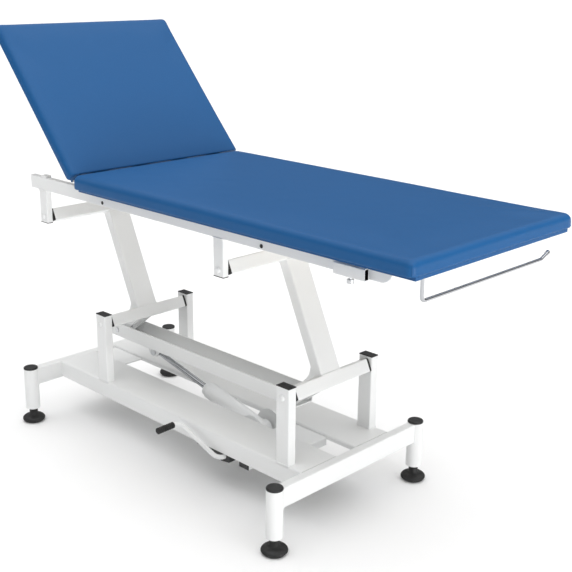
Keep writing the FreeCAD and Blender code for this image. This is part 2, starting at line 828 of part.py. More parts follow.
def pedal_points():
    """The crank's bends: out of its bearing, up towards the head, then outward along the grip."""
    origin_x = d.base_middle_x.value + d.pedal_x.value
    side = -d.pedal_side.value
    tip_x = origin_x - d.pedal_reach.value
    tip_z = d.pedal_z.value + d.pedal_rise.value
    inner = d.bearing_width.value - d.bearing_near.value
    return [
        Vector(origin_x, inner, d.pedal_z.value),
        Vector(origin_x, side, d.pedal_z.value),
        Vector(tip_x, side, tip_z),
        Vector(tip_x, side - d.pedal_bend.value - d.grip_length.value, tip_z - d.grip_droop.value),
    ]


def pedal_crank():
    return shape_feature("pedal_crank", bent_rod(pedal_points(), d.pedal_rod.value / 2, d.pedal_bend.value))


def pedal_grip():
    """A round sleeve pushed over the end of the crank, closed at its outer end."""
    *_, corner, tip = pedal_points()
    outward = (tip - corner).normalize()
    start = tip - outward * d.grip_length.value
    wall = (d.grip_diameter.value - d.pedal_rod.value) / 2
    sleeve = Part.makeCylinder(d.grip_diameter.value / 2, d.grip_length.value + wall, start, outward)
    sleeve = sleeve.makeFillet(d.grip_round.value, [edge for edge in sleeve.Edges if edge.Closed])
    bore = Part.makeCylinder(d.pedal_rod.value / 2, d.grip_length.value, start, outward)
    return shape_feature("pedal_grip", sleeve.cut(bore))


# Bed

def bed_rail():
    """A side rail, hollow inside, with its foot end rounded upward."""
    body = new_body("bed_rail")
    sketch = new_sketch(body, "bed_rail_side", "XZ_Plane")
    add_outline(sketch, box_outline(d.rail_head_end, 0, d.rail_foot_end, d.rail_height))
    pad(body, sketch, d.rail_thickness)
    nose_x = d.rail_foot_end.value
    fillet(body, d.rail_nose, lambda edge: runs_along(edge, "y") and abs(edge.CenterOfMass.x - nose_x) < TOUCH
           and edge.CenterOfMass.z < TOUCH)
    fillet(body, d.rail_wall, lambda edge: runs_along(edge, "x"))
    wall = d.rail_wall
    block(body, "Subtractive", (d.rail_foot_end - d.rail_nose - d.rail_head_end - wall,
                                d.rail_thickness - wall * 2, d.rail_height - wall * 2),
          (d.rail_head_end + wall, wall - d.rail_thickness, wall))
    for along in (d.rail_hole_head, d.rail_hole_foot):
        cylinder(body, "Subtractive", d.rail_hole / 2, wall * 3, (along, wall * -1.5 - d.rail_thickness,
                                                                 d.rail_height / 4), "Y")
    return place(body, 0, -rail_inner, rail_bottom)


def bed_cross_tube(name, along):
    body = tube(name, "Y", d.cross_tube_width, d.cross_tube_height, rail_inner * 2, d.cross_tube_wall)
    return place(body, along, 0, rail_top - d.cross_tube_height / 2)


def hinge_cross_tube():
    """The cross tube under the backrest's hinge, with the strut's lug and pin on its head side."""
    body = bed_cross_tube("bed_cross_tube_hinge", d.cross_tube_hinge_x)
    origin_z = rail_top - d.cross_tube_height / 2
    pin_x = d.hinge_x - d.strut_low_x - d.cross_tube_hinge_x
    low_z = hinge_z - d.strut_low_z - origin_z
    inner = d.strut_ear_half + d.part_gap
    outer = inner + d.strut_ear_plate
    eye = d.strut_pin
    face = d.cross_tube_width / -2
    sketch = new_sketch(body, "strut_lug_side", "XZ_Plane")
    half = d.cross_tube_height / 2 - d.cross_tube_wall * 1.5
    add_outline(sketch, [(face, -half), (face, half), (pin_x, low_z + eye), (pin_x, low_z - eye)])
    pad(body, sketch, outer * 2, middle=True)
    cylinder(body, "Additive", eye, outer * 2, (pin_x, -outer, low_z), "Y")
    block(body, "Subtractive", (eye * 4, inner * 2, d.cross_tube_height * 2),
          (face - eye * 4, -inner, -d.cross_tube_height))
    cylinder(body, "Additive", d.strut_pin / 2, outer * 2, (pin_x, -outer, low_z), "Y")
    return body


def bracket(name, along):
    """A short tube that hangs from the rail and holds the arm's upper pivot."""
    height = rail_bottom - bracket_bottom - d.cap_thickness
    body = tube(name, "Z", d.bracket_width, d.rail_thickness, height, d.bracket_wall)
    middle_z = rail_bottom - height / 2
    cylinder(body, "Subtractive", d.bolt_diameter / 2, d.rail_thickness * 2,
             (0, -d.rail_thickness, upper_pivot_z - middle_z), "Y")
    return place(body, along, d.rail_thickness / 2 - d.rail_outer, middle_z)


def accessory_sleeve():
    """A short rectangular tube on the near rail, open at both ends."""
    body = tube("accessory_sleeve", "X", d.sleeve_depth, d.sleeve_height, d.sleeve_length, d.sleeve_wall)
    cylinder(body, "Subtractive", d.screw_diameter / 2 + d.running_fit, d.sleeve_height / 2,
             (0, 0, d.sleeve_height / -1.5), "Z")
    return place(body, d.sleeve_start + d.sleeve_length / 2, -d.rail_outer - d.sleeve_depth / 2,
                 sleeve_bottom + d.sleeve_height / 2)


def clamp_screw():
    """A thumb screw that threads up through the sleeve's lower wall."""
    body = new_body("clamp_screw")
    sketch = new_sketch(body, "clamp_screw_section", "XZ_Plane")
    head = d.screw_head_diameter / 2
    shank = d.screw_diameter / 2
    top = d.screw_gap + d.sleeve_wall
    add_outline(sketch, [(0, -d.screw_head_height), (head, -d.screw_head_height), (head, 0), (shank, 0),
                         (shank, top), (0, top)])
    revolve(body, sketch)
    return place(body, d.sleeve_start + d.sleeve_length / 2, -d.rail_outer - d.sleeve_depth / 2,
                 sleeve_bottom - d.screw_gap)


def rail_buffer():
    """A pad on the rail that the backrest lies on when it is flat."""
    body = new_body("rail_buffer")
    height = hinge_z + backrest_bottom - rail_top - d.buffer_gap
    block(body, "Additive", (d.buffer_length, d.rail_thickness, height),
          (-(d.buffer_length / 2), -(d.rail_thickness / 2), 0))
    fillet(body, height / 4, lambda edge: edge.CenterOfMass.z > height.value - TOUCH)
    return place(body, d.buffer_x, d.rail_thickness / 2 - d.rail_outer, rail_top)


def hinge_leaf(name, across, side, low):
    """Half a butt hinge: a plate on the end of a board and its knuckles. side is 1 towards the foot."""
    body = new_body(name)
    knuckle = d.knuckle_diameter / 2
    third = d.leaf_width / 3
    outer = d.hinge_half_gap * side
    inner = outer - d.leaf_thickness * side
    leaf = new_sketch(body, f"{name}_leaf", "XZ_Plane")
    add_outline(leaf, [(inner, low), (outer, low), (outer, 0), (inner, 0)])
    pad(body, leaf, d.leaf_width, middle=True)
    middle = third - d.part_gap * 2
    if side > 0:
        rolls = [(-(d.leaf_width / 2), third), (third / 2, third)]
    else:
        rolls = [(-(middle / 2), middle)]
    for start, length in rolls:
        cylinder(body, "Additive", knuckle, length, (0, start, 0), "Y")
        block(body, "Additive", (d.hinge_half_gap, length, knuckle), (0 if side > 0 else outer, start, -knuckle))
    pin = d.hinge_pin_diameter / 2
    if side > 0:
        cylinder(body, "Additive", pin, d.leaf_width, (0, d.leaf_width / -2, 0), "Y")
    else:
        cylinder(body, "Subtractive", pin + d.running_fit, middle * 2, (0, -middle, 0), "Y")
    turn = d.backrest_angle if side < 0 else None
    return place(body, d.hinge_x, across, hinge_z, turn)


def cushion(name, start, end, low, high):
    """An upholstered pad as a plain block with rounded edges."""
    body = new_body(name)
    block(body, "Additive", (end - start, d.pad_half_width * 2, high - low), (start, -d.pad_half_width, low))
    fillet(body, d.pad_edge, lambda edge: edge.BoundBox.ZLength < TOUCH and edge.CenterOfMass.z > low.value + 1)
    return body


def board(name, start, end, low):
    body = new_body(name)
    block(body, "Additive", (end - start, d.board_half_width * 2, d.board_thickness),
          (start, -d.board_half_width, low))
    return body


def paper_roll_bar():
    """A bent rod below the foot end that holds a paper roll, with a cap on its tip."""
    along = d.base_middle_x.value + d.roll_bar_x.value
    near = -d.roll_bar_near.value
    far = d.roll_bar_far.value
    top = rail_top.value
    low = top - d.roll_bar_drop.value
    tip = Vector(along, far + d.roll_bar_tip.value, low + d.roll_bar_tip_rise.value)
    corner = Vector(along, far, low)
    points = [Vector(along, near, top), Vector(along, near, low), corner, tip]
    rod = bent_rod(points, d.roll_bar_diameter.value / 2, d.roll_bar_bend.value)
    cap = Part.makeCylinder(d.roll_cap_diameter.value / 2, d.roll_cap_length.value, tip, tip - corner)
    return shape_feature("paper_roll_bar", Part.makeCompound([rod, cap]))


# Backrest strut

def back_place(along, up):
    """A place on the backrest, given from its hinge while it lies flat, after it is raised."""
    return (d.hinge_x + along * cos_back + up * sin_back, hinge_z - along * sin_back + up * cos_back)


strut_low = (d.hinge_x - d.strut_low_x, hinge_z - d.strut_low_z)
strut_high = back_place(-d.strut_high_x, -d.strut_high_z)
strut_run = strut_low[0] - strut_high[0]
strut_rise = strut_high[1] - strut_low[1]
strut_angle = slope_angle(strut_rise, strut_run)
strut_reach = distance(strut_run, strut_rise)


def strut_bracket():
    """Two ears under the backrest's board with the strut's upper pin."""
    body = new_body("strut_bracket")
    sketch = new_sketch(body, "strut_bracket_side", "XZ_Plane")
    eye = d.strut_pin
    base = eye * 2
    top = backrest_bottom
    pin_x = -d.strut_high_x
    pin_up = -d.strut_high_z
    add_outline(sketch, [(pin_x - base, top), (pin_x + base, top), (pin_x + eye, pin_up - eye / 2),
                         (pin_x - eye, pin_up - eye / 2)])
    inner = d.strut_ear_half + d.part_gap
    outer = inner + d.strut_ear_plate
    pad(body, sketch, outer * 2, middle=True)
    block(body, "Subtractive", (base * 4, inner * 2, d.strut_high_z), (pin_x - base * 2, -inner,
                                                                      top - d.strut_high_z))
    cylinder(body, "Additive", d.strut_pin / 2, outer * 2, (pin_x, -outer, pin_up), "Y")
    return place(body, d.hinge_x, 0, hinge_z, d.backrest_angle)


def strut_tube():
    """The strut's lower half: an eye on the lug's pin and a bored tube."""
    body = new_body("strut_tube")
    sketch = new_sketch(body, "strut_tube_section", "XZ_Plane")
    outer = d.strut_tube_diameter / 2
    bore = d.strut_rod_diameter / 2 + d.running_fit
    start = -d.strut_tube_start
    add_outline(sketch, [(start, bore), (start, outer),
                         (-d.strut_tube_length, outer), (-d.strut_tube_length, bore)])
    revolve(body, sketch, "H_Axis")
    cylinder(body, "Additive", d.strut_eye, d.strut_ear_half * 2, (0, -d.strut_ear_half, 0), "Y")
    cylinder(body, "Subtractive", d.strut_pin / 2 + d.running_fit, outer * 4, (0, outer * -2, 0), "Y")
    return place(body, strut_low[0], 0, strut_low[1], strut_angle)


def strut_rod():
    """The strut's sliding half, with a wide eye round the backrest's pin."""
    body = new_body("strut_rod")
    sketch = new_sketch(body, "strut_rod_section", "XZ_Plane")
    rod = d.strut_rod_diameter / 2
    inside = strut_reach - d.strut_tube_length + d.strut_rod_overlap
    add_outline(sketch, [(0, 0), (inside, 0), (inside, rod), (0, rod)])
    revolve(body, sketch, "H_Axis")
    bore = d.strut_pin / 2 + d.strut_open_gap
    cylinder(body, "Additive", bore + d.strut_ear_plate, d.strut_ear_half * 2, (0, -d.strut_ear_half, 0), "Y")
    cylinder(body, "Subtractive", bore, d.strut_ear_half * 4, (0, d.strut_ear_half * -2, 0), "Y")
    return place(body, strut_high[0], 0, strut_high[1], strut_angle)


# Assembly

ENDS = {"head": -1, "foot": 1}

near_rail = keep("base_rail_near", base_rail())
keep("base_rail_far", mirrored(near_rail, "base_rail_far"))
post_caps = []
for end, sign in ENDS.items():
    keep(f"cross_member_{end}", cross_member(f"cross_member_{end}", d.post_reach_x * sign))
    post = corner_post(f"corner_post_{end}", d.post_reach_x * sign)
    keep(f"corner_posts_{end}", group(f"corner_posts_{end}", [post, mirrored(post, f"corner_post_{end}_far")]))
    cap = post_cap(f"post_cap_{end}", d.post_reach_x * sign)
    post_caps += [cap, mirrored(cap, f"post_cap_{end}_far")]
    foot = keep(f"levelling_foot_{end}_near", levelling_foot(f"levelling_foot_{end}", d.post_reach_x * sign))
    keep(f"levelling_foot_{end}_far", mirrored(foot, f"levelling_foot_{end}_far"))

square_caps = []
lower_bolts = []
upper_bolts = []
bracket_caps = []
for end, pivot_x in (("head", d.head_pivot_x), ("foot", foot_pivot_x)):
    near = keep(f"upright_{end}_near", upright(f"upright_{end}", pivot_x))
    keep(f"upright_{end}_far", mirrored(near, f"upright_{end}_far"))
    cap = tube_cap(f"upright_cap_{end}", d.upright_width, d.upright_depth, d.upright_wall)
    place(cap, pivot_x, -upright_y, d.upright_top - d.cap_thickness)
    square_caps += [cap, mirrored(cap, f"upright_cap_{end}_far")]
    depth = d.upright_depth + d.bolt_depth
    bolt = pivot_bolt(f"lower_bolt_{end}", pivot_x, d.base_rail_outer, d.lower_pivot_z, depth)
    lower_bolts += [bolt, mirrored(bolt, f"lower_bolt_{end}_far")]
    upper_x = pivot_x + upper_offset_x
    hanger = bracket(f"bracket_{end}", upper_x)
    keep(f"brackets_{end}", group(f"brackets_{end}", [hanger, mirrored(hanger, f"bracket_{end}_far")]))
    cap = tube_cap(f"bracket_cap_{end}", d.bracket_width, d.rail_thickness, d.bracket_wall, upward=False)
    place(cap, upper_x, d.rail_thickness / 2 - d.rail_outer, bracket_bottom + d.cap_thickness)
    bracket_caps += [cap, mirrored(cap, f"bracket_cap_{end}_far")]
    depth = d.rail_thickness + d.bolt_depth
    bolt = pivot_bolt(f"upper_bolt_{end}", upper_x, d.rail_outer, upper_pivot_z, depth)
    upper_bolts += [bolt, mirrored(bolt, f"upper_bolt_{end}_far")]
beam_cap = crossbeam_cap()
square_caps += [beam_cap, mirrored(beam_cap, "crossbeam_cap_far")]
keep("base_caps", group("base_caps", post_caps + square_caps))
keep("lower_pivot_bolts", group("lower_pivot_bolts", lower_bolts))
keep("upper_pivot_bolts", group("upper_pivot_bolts", upper_bolts))
keep("bracket_caps", group("bracket_caps", bracket_caps))
keep("tie_plate", tie_plate())
keep("pump_plate", pump_plate())
keep("crossbeam", crossbeam())
keep("cylinder_ears", cylinder_ears())
keep("pedal_bearing", pedal_bearing())

arm("head_arm", d.head_pivot_x, d.running_fit)
arm("foot_arm", foot_pivot_x, d.open_fit)
keep("link_channel", link_channel())
pins = [headed_pin("head_lever_pin", head_pin_x, pin_z, d.bolt_diameter / 2, d.channel_width / 2),
        headed_pin("foot_lever_pin", foot_pin_x, pin_z, d.bolt_diameter / 2, d.channel_width / 2),
        headed_pin("cylinder_pin", d.cylinder_pin_x, cylinder_pin_z, d.cylinder_pin_diameter / 2,
                   d.lug_half_gap + d.lug_plate)]
keep("channel_pins", group("channel_pins", pins))
keep("piston_rod", piston_rod())
keep("cylinder_tube", cylinder_tube())
keep("pedal_crank", pedal_crank())
keep("pedal_grip", pedal_grip())

near_bed_rail = keep("bed_rail_near", bed_rail())
keep("bed_rail_far", mirrored(near_bed_rail, "bed_rail_far"))
keep("bed_cross_tube_hinge", hinge_cross_tube())
keep("bed_cross_tube_foot", bed_cross_tube("bed_cross_tube_foot", d.cross_tube_foot_x))
seat_board = board("seat_board", d.hinge_half_gap, d.seat_foot_end - d.board_inset - d.hinge_x, Dim(0))
keep("seat_board", place(seat_board, d.hinge_x, 0, rail_top))
seat_pad = cushion("seat_pad", d.hinge_half_gap, d.seat_foot_end - d.hinge_x, Dim(0), d.seat_thickness)
keep("seat_pad", place(seat_pad, d.hinge_x, 0, rail_top + d.board_thickness))
keep("accessory_sleeve", accessory_sleeve())
keep("clamp_screw", clamp_screw())
buffer = rail_buffer()
keep("rail_buffers", group("rail_buffers", [buffer, mirrored(buffer, "rail_buffer_far")]))
keep("paper_roll_bar", paper_roll_bar())

seat_leaves = []
backrest_leaves = []
for index, across in enumerate((-d.leaf_outer, -d.leaf_inner, d.leaf_inner, d.leaf_outer)):
    seat_leaves.append(hinge_leaf(f"seat_leaf_{index}", across, 1, rail_top - hinge_z))
    backrest_leaves.append(hinge_leaf(f"backrest_leaf_{index}", across, -1, backrest_bottom))
keep("hinge_leaves_seat", group("hinge_leaves_seat", seat_leaves))
keep("hinge_leaves_backrest", group("hinge_leaves_backrest", backrest_leaves))
back_board = board("backrest_board", d.board_inset - d.backrest_length, -d.hinge_half_gap, backrest_bottom)
keep("backrest_board", place(back_board, d.hinge_x, 0, hinge_z, d.backrest_angle))
back_pad = cushion("backrest_pad", -d.backrest_length, -d.hinge_half_gap, backrest_bottom + d.board_thickness,
                   d.hinge_depth)
keep("backrest_pad", place(back_pad, d.hinge_x, 0, hinge_z, d.backrest_angle))
keep("strut_bracket", strut_bracket())
keep("strut_tube", strut_tube())
keep("strut_rod", strut_rod())
doc.recompute()

for feature in doc.Objects:
    if "Invalid" in feature.State or "Error" in feature.State:
        raise RuntimeError(f"{feature.Name} did not build: {feature.State}")
for name, feature in NODES.items():
    if feature.Shape.isNull() or not feature.Shape.isValid():
        raise RuntimeError(f"{name} has no valid shape")
for name, feature in NODES.items():
    feature.Shape.exportStep(f"parts/{name}.step")
print(len(NODES), "sub-parts written")
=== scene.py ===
"""The looks of the hydraulic examination couch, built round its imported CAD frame. Lengths are metres."""

import math

import bmesh
import bpy
from mathutils import Matrix, Quaternion, Vector
from mathutils.bvhtree import BVHTree


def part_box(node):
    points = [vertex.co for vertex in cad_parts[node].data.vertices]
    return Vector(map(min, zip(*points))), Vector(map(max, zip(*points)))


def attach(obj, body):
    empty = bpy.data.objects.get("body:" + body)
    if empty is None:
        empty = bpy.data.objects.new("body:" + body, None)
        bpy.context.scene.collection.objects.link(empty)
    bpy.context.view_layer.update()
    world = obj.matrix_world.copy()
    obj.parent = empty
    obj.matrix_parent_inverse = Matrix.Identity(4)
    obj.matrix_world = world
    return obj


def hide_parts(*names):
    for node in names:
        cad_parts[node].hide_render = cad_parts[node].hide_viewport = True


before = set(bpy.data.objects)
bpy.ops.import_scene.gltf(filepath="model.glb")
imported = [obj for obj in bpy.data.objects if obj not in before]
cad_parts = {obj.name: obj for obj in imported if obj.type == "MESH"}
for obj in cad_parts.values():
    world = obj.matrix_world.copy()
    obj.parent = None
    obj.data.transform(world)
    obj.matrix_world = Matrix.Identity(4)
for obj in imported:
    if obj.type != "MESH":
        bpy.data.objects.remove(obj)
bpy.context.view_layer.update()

# Places and sizes of the part

seat_low, seat_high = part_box("seat_pad")
board_low, board_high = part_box("seat_board")
rail_low, rail_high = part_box("bed_rail_near")
HINGE_GAP = 0.005
HINGE_DEPTH = 0.010
HINGE = Vector((seat_low.x - HINGE_GAP, 0, seat_high.z - HINGE_DEPTH))
BACKREST_ANGLE = math.radians(48.7)
BACKREST_LENGTH = 0.577
BACKREST_THICKNESS = 0.0355
BOARD_THICKNESS = board_high.z - board_low.z
BOARD_INSET = 0.008
BOARD_HALF_WIDTH = board_high.y
ARM_LEAN = math.radians(24.4)
ARM_LENGTH = 0.384
PIVOT_HEIGHT = 0.3928
PIVOTS = {"head_arm": -0.541, "foot_arm": 0.3038}
TO_BACKREST = Matrix.Translation(HINGE) @ Matrix.Rotation(BACKREST_ANGLE, 4, "Y")
ENDS = ("head", "foot")
SIDES = ("near", "far")
LEVELLING_FEET = [f"levelling_foot_{end}_{side}" for end in ENDS for side in SIDES]

# Materials

EDGE_SAMPLES = 4
EDGE_WORN = 0.75
EDGE_CLEAN = 0.97


class Paint:
    """A node material in the making: its shader, and texture nodes read in object coordinates."""

    def __init__(self, name, roughness, metallic=0.0, specular=0.5):
        self.material = bpy.data.materials.new(name)
        self.material.use_nodes = True
        self.tree = self.material.node_tree
        self.shader = self.tree.nodes["Principled BSDF"]
        self.shader.inputs["Roughness"].default_value = roughness
        self.shader.inputs["Metallic"].default_value = metallic
        self.shader.inputs["Specular IOR Level"].default_value = specular
        self.place = self.node("ShaderNodeTexCoord").outputs["Object"]
        self.height = None

    def node(self, kind, **settings):
        made = self.tree.nodes.new(kind)
        for setting, value in settings.items():
            setattr(made, setting, value)
        return made

    def link(self, source, target):
        self.tree.links.new(source, target)

    def stretched(self, scale):
        """The object coordinates, stretched by a factor along each axis."""
        mapping = self.node("ShaderNodeMapping")
        mapping.inputs["Scale"].default_value = scale
        self.link(self.place, mapping.inputs["Vector"])
        return mapping.outputs["Vector"]

    def noise(self, scale, detail=3.0, place=None):
        texture = self.node("ShaderNodeTexNoise")
        texture.inputs["Scale"].default_value = scale
        texture.inputs["Detail"].default_value = detail
        self.link(place or self.place, texture.inputs["Vector"])
        return texture.outputs["Fac"]

    def cells(self, scale):
        texture = self.node("ShaderNodeTexVoronoi", feature="F1")
        texture.inputs["Scale"].default_value = scale
        self.link(self.place, texture.inputs["Vector"])
        return texture.outputs["Distance"]

    def range(self, value, low, high, start=0.0, end=1.0):
        mapped = self.node("ShaderNodeMapRange")
        self.link(value, mapped.inputs["Value"])
        mapped.inputs["From Min"].default_value = start
        mapped.inputs["From Max"].default_value = end
        mapped.inputs["To Min"].default_value = low
        mapped.inputs["To Max"].default_value = high
        return mapped.outputs["Result"]

    def mix(self, share, first, second):
        """A colour between two, each given as numbers or as another node's output."""
        blend = self.node("ShaderNodeMix", data_type="RGBA")
        self.link(share, blend.inputs["Factor"])
        for socket, colour in ((blend.inputs[6], first), (blend.inputs[7], second)):
            if isinstance(colour, tuple):
                socket.default_value = (*colour, 1)
            else:
                self.link(colour, socket)
        return blend.outputs[2]

    def edges(self, radius):
        """1 on the outer edges of a piece and 0 on its faces."""
        rounded = self.node("ShaderNodeBevel", samples=EDGE_SAMPLES)
        rounded.inputs["Radius"].default_value = radius
        geometry = self.node("ShaderNodeNewGeometry")
        product = self.node("ShaderNodeVectorMath", operation="DOT_PRODUCT")
        self.link(rounded.outputs["Normal"], product.inputs[0])
        self.link(geometry.outputs["Normal"], product.inputs[1])
        return self.range(product.outputs["Value"], 1, 0, EDGE_WORN, EDGE_CLEAN)

    def colour(self, output):
        self.link(output, self.shader.inputs["Base Color"])

    def roughness(self, output):
        self.link(output, self.shader.inputs["Roughness"])

    def coat(self, weight, roughness):
        self.shader.inputs["Coat Weight"].default_value = weight
        self.shader.inputs["Coat Roughness"].default_value = roughness

    def bump(self, output, depth):
        """Adds relief of a depth in metres on top of what is there."""
        bump = self.node("ShaderNodeBump")
        bump.inputs["Strength"].default_value = 1.0
        bump.inputs["Distance"].default_value = depth
        self.link(output, bump.inputs["Height"])
        if self.height is not None:
            self.link(self.height, bump.inputs["Normal"])
        self.height = bump.outputs["Normal"]
        self.link(self.height, self.shader.inputs["Normal"])


def powder_coat():
    paint = Paint("powder_coat", roughness=0.42)
    tone = paint.mix(paint.noise(3.0), (0.80, 0.81, 0.81), (0.86, 0.865, 0.86))
    worn = paint.mix(paint.noise(120.0), (0.80, 0.81, 0.81), (0.62, 0.63, 0.63))
    paint.colour(paint.mix(paint.edges(0.0012), tone, worn))
    paint.roughness(paint.range(paint.noise(25.0), 0.36, 0.5, 0.3, 0.7))
    paint.bump(paint.noise(420.0, 1.0), 0.00006)
    paint.coat(0.15, 0.25)
    return paint.material


def vinyl():
    paint = Paint("upholstery_vinyl", roughness=0.46, specular=0.12)
    tone = paint.mix(paint.noise(2.5), (0.011, 0.100, 0.280), (0.015, 0.116, 0.315))
    grain = paint.cells(900.0)
    paint.colour(paint.mix(paint.range(grain, 0, 1, 0.1, 0.7), tone, (0.010, 0.088, 0.250)))
    paint.roughness(paint.range(paint.noise(9.0), 0.44, 0.49, 0.3, 0.7))
    paint.bump(grain, 0.00010)
    paint.bump(paint.noise(140.0, 2.0), 0.00012)
    paint.coat(0.18, 0.38)
    paint.shader.inputs["Sheen Weight"].default_value = 0.02
    paint.shader.inputs["Sheen Roughness"].default_value = 0.35
    return paint.material


def moulded_plastic():
    paint = Paint("moulded_plastic", roughness=0.4)
    tone = paint.mix(paint.noise(12.0), (0.005, 0.005, 0.006), (0.011, 0.011, 0.012))
    # The outer edges are painted lighter: a painted highlight along the rims.
    paint.colour(paint.mix(paint.edges(0.0008), tone, (0.026, 0.026, 0.026)))
    paint.roughness(paint.range(paint.noise(60.0), 0.33, 0.5, 0.3, 0.7))
    paint.bump(paint.noise(1600.0, 1.0), 0.00004)
    return paint.material


def black_rubber():
    paint = Paint("black_rubber", roughness=0.62)
    dust = paint.mix(paint.noise(35.0), (0.006, 0.006, 0.006), (0.014, 0.014, 0.014))
    # The outer edges are painted lighter: a painted highlight along the rims, over the dust.
    paint.colour(paint.mix(paint.edges(0.001), dust, (0.026, 0.026, 0.025)))
    paint.roughness(paint.range(paint.noise(70.0), 0.5, 0.75, 0.3, 0.7))
    paint.bump(paint.noise(900.0, 2.0), 0.00008)
    return paint.material


def zinc():
    paint = Paint("zinc_plate", roughness=0.32, metallic=1.0)
    drawn = paint.noise(60.0, 4.0, paint.stretched((1, 18, 18)))
    paint.colour(paint.mix(drawn, (0.50, 0.51, 0.53), (0.68, 0.69, 0.70)))
    paint.roughness(paint.range(drawn, 0.24, 0.42, 0.3, 0.7))
    paint.bump(drawn, 0.00003)
    return paint.material


def chrome():
    paint = Paint("chrome_plate", roughness=0.12, metallic=1.0)
    smudge = paint.noise(40.0, 2.0)
    paint.colour(paint.mix(smudge, (0.44, 0.45, 0.47), (0.54, 0.55, 0.57)))
    paint.roughness(paint.range(smudge, 0.07, 0.2, 0.3, 0.75))
    paint.bump(paint.noise(500.0, 1.0), 0.00001)
    return paint.material


def plywood():
    paint = Paint("birch_plywood", roughness=0.6)
    grain = paint.noise(14.0, 8.0, paint.stretched((1, 9, 9)))
    tone = paint.mix(paint.range(grain, 0, 1, 0.3, 0.7), (0.56, 0.52, 0.46), (0.70, 0.67, 0.61))
    paint.colour(paint.mix(paint.range(paint.noise(300.0), 0, 0.5, 0.4, 0.8), tone, (0.58, 0.53, 0.46)))
    paint.roughness(paint.range(grain, 0.5, 0.72, 0.3, 0.7))
    paint.bump(grain, 0.0002)
    return paint.material


MATERIALS = {
    "white_paint": powder_coat(),
    "blue_vinyl": vinyl(),
    "black_plastic": moulded_plastic(),
    "black_rubber": black_rubber(),
    "zinc_steel": zinc(),
    "chrome": chrome(),
    "plywood": plywood(),
}


def finish_as(obj, slot):
    """Gives a piece the material of a slot, in place of any it has."""
    obj.data.materials.clear()
    obj.data.materials.append(MATERIALS[slot])


SLOT_NODES = {
    "black_plastic": ("base_caps", "bracket_caps", "head_arm_plugs", "foot_arm_plugs", "pedal_bearing"),
    "black_rubber": ("pedal_grip", *LEVELLING_FEET),
    "chrome": ("piston_rod", "paper_roll_bar", "strut_rod"),
    "zinc_steel": ("channel_pins", "clamp_screw", "hinge_leaves_seat", "hinge_leaves_backrest", "strut_tube"),
    "plywood": ("seat_board", "backrest_board"),
}
NODE_SLOTS = {name: slot for slot, names in SLOT_NODES.items() for name in names}
REPLACED = ("seat_pad", "backrest_pad", "base_rail_near", "base_rail_far", "pedal_crank", "pedal_grip",
            "paper_roll_bar", *LEVELLING_FEET)
ROD_EDGE_WIDTH = 0.0004
EDGE_WIDTH = 0.0007
SAME_PLACE = 0.00001
FLAT_ANGLE = math.radians(0.5)
SHARP_ANGLE = math.radians(40)
EDGE_SEGMENTS = 2
FACE_WEIGHT = 80


def soften_edges(obj, width):
    """Rounds the sharp edges of a CAD piece by modifiers alone."""
    weld = obj.modifiers.new("weld", "WELD")
    weld.merge_threshold = SAME_PLACE
    flat = obj.modifiers.new("flat_faces", "DECIMATE")
    flat.decimate_type = "DISSOLVE"
    flat.angle_limit = FLAT_ANGLE
    bevel = obj.modifiers.new("rounded_edges", "BEVEL")
    bevel.width = width
    bevel.segments = EDGE_SEGMENTS
    bevel.limit_method = "ANGLE"
    bevel.angle_limit = SHARP_ANGLE
    normals = obj.modifiers.new("face_normals", "WEIGHTED_NORMAL")
    normals.weight = FACE_WEIGHT


for node_name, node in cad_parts.items():
    finish_as(node, NODE_SLOTS.get(node_name, "white_paint"))
    if node_name not in REPLACED:
        soften_edges(node, ROD_EDGE_WIDTH if node_name == "piston_rod" else EDGE_WIDTH)


# Ways to make a piece


def new_object(name, data):
    """An object of the given mesh, camera or light, in the scene."""
    obj = bpy.data.objects.new(name, data)
    bpy.context.scene.collection.objects.link(obj)
    return obj


def mesh_from(name, build):
    """A mesh whose bmesh is filled by the given function."""
    shape = bmesh.new()
    build(shape)
    bmesh.ops.recalc_face_normals(shape, faces=shape.faces)
    mesh = bpy.data.meshes.new(name)
    shape.to_mesh(mesh)
    shape.free()
    return mesh


def smooth(mesh):
    for face in mesh.polygons:
        face.use_smooth = True


# Cushions

GRID = 0.011
ROLL_STEPS = 5
SIDE_STEPS = 4
SIDE_GAP = 0.002
TOP_GAP = 0.003
MAX_RISE = 0.004
SMOOTH_PASSES = 8
HELD_BAND = 0.004
PAD_ROLL = 0.017
HINGE_ROLL = 0.0015
CLOTH_FRAMES = 20
CLOTH_SETTINGS = {
    "quality": 6,
    "mass": 0.2,
    "tension_stiffness": 25,
    "compression_stiffness": 25,
    "shear_stiffness": 10,
    "bending_stiffness": 4,
    "use_pressure": True,
    "uniform_pressure_force": 3,
    "vertex_group_mass": "held",
}


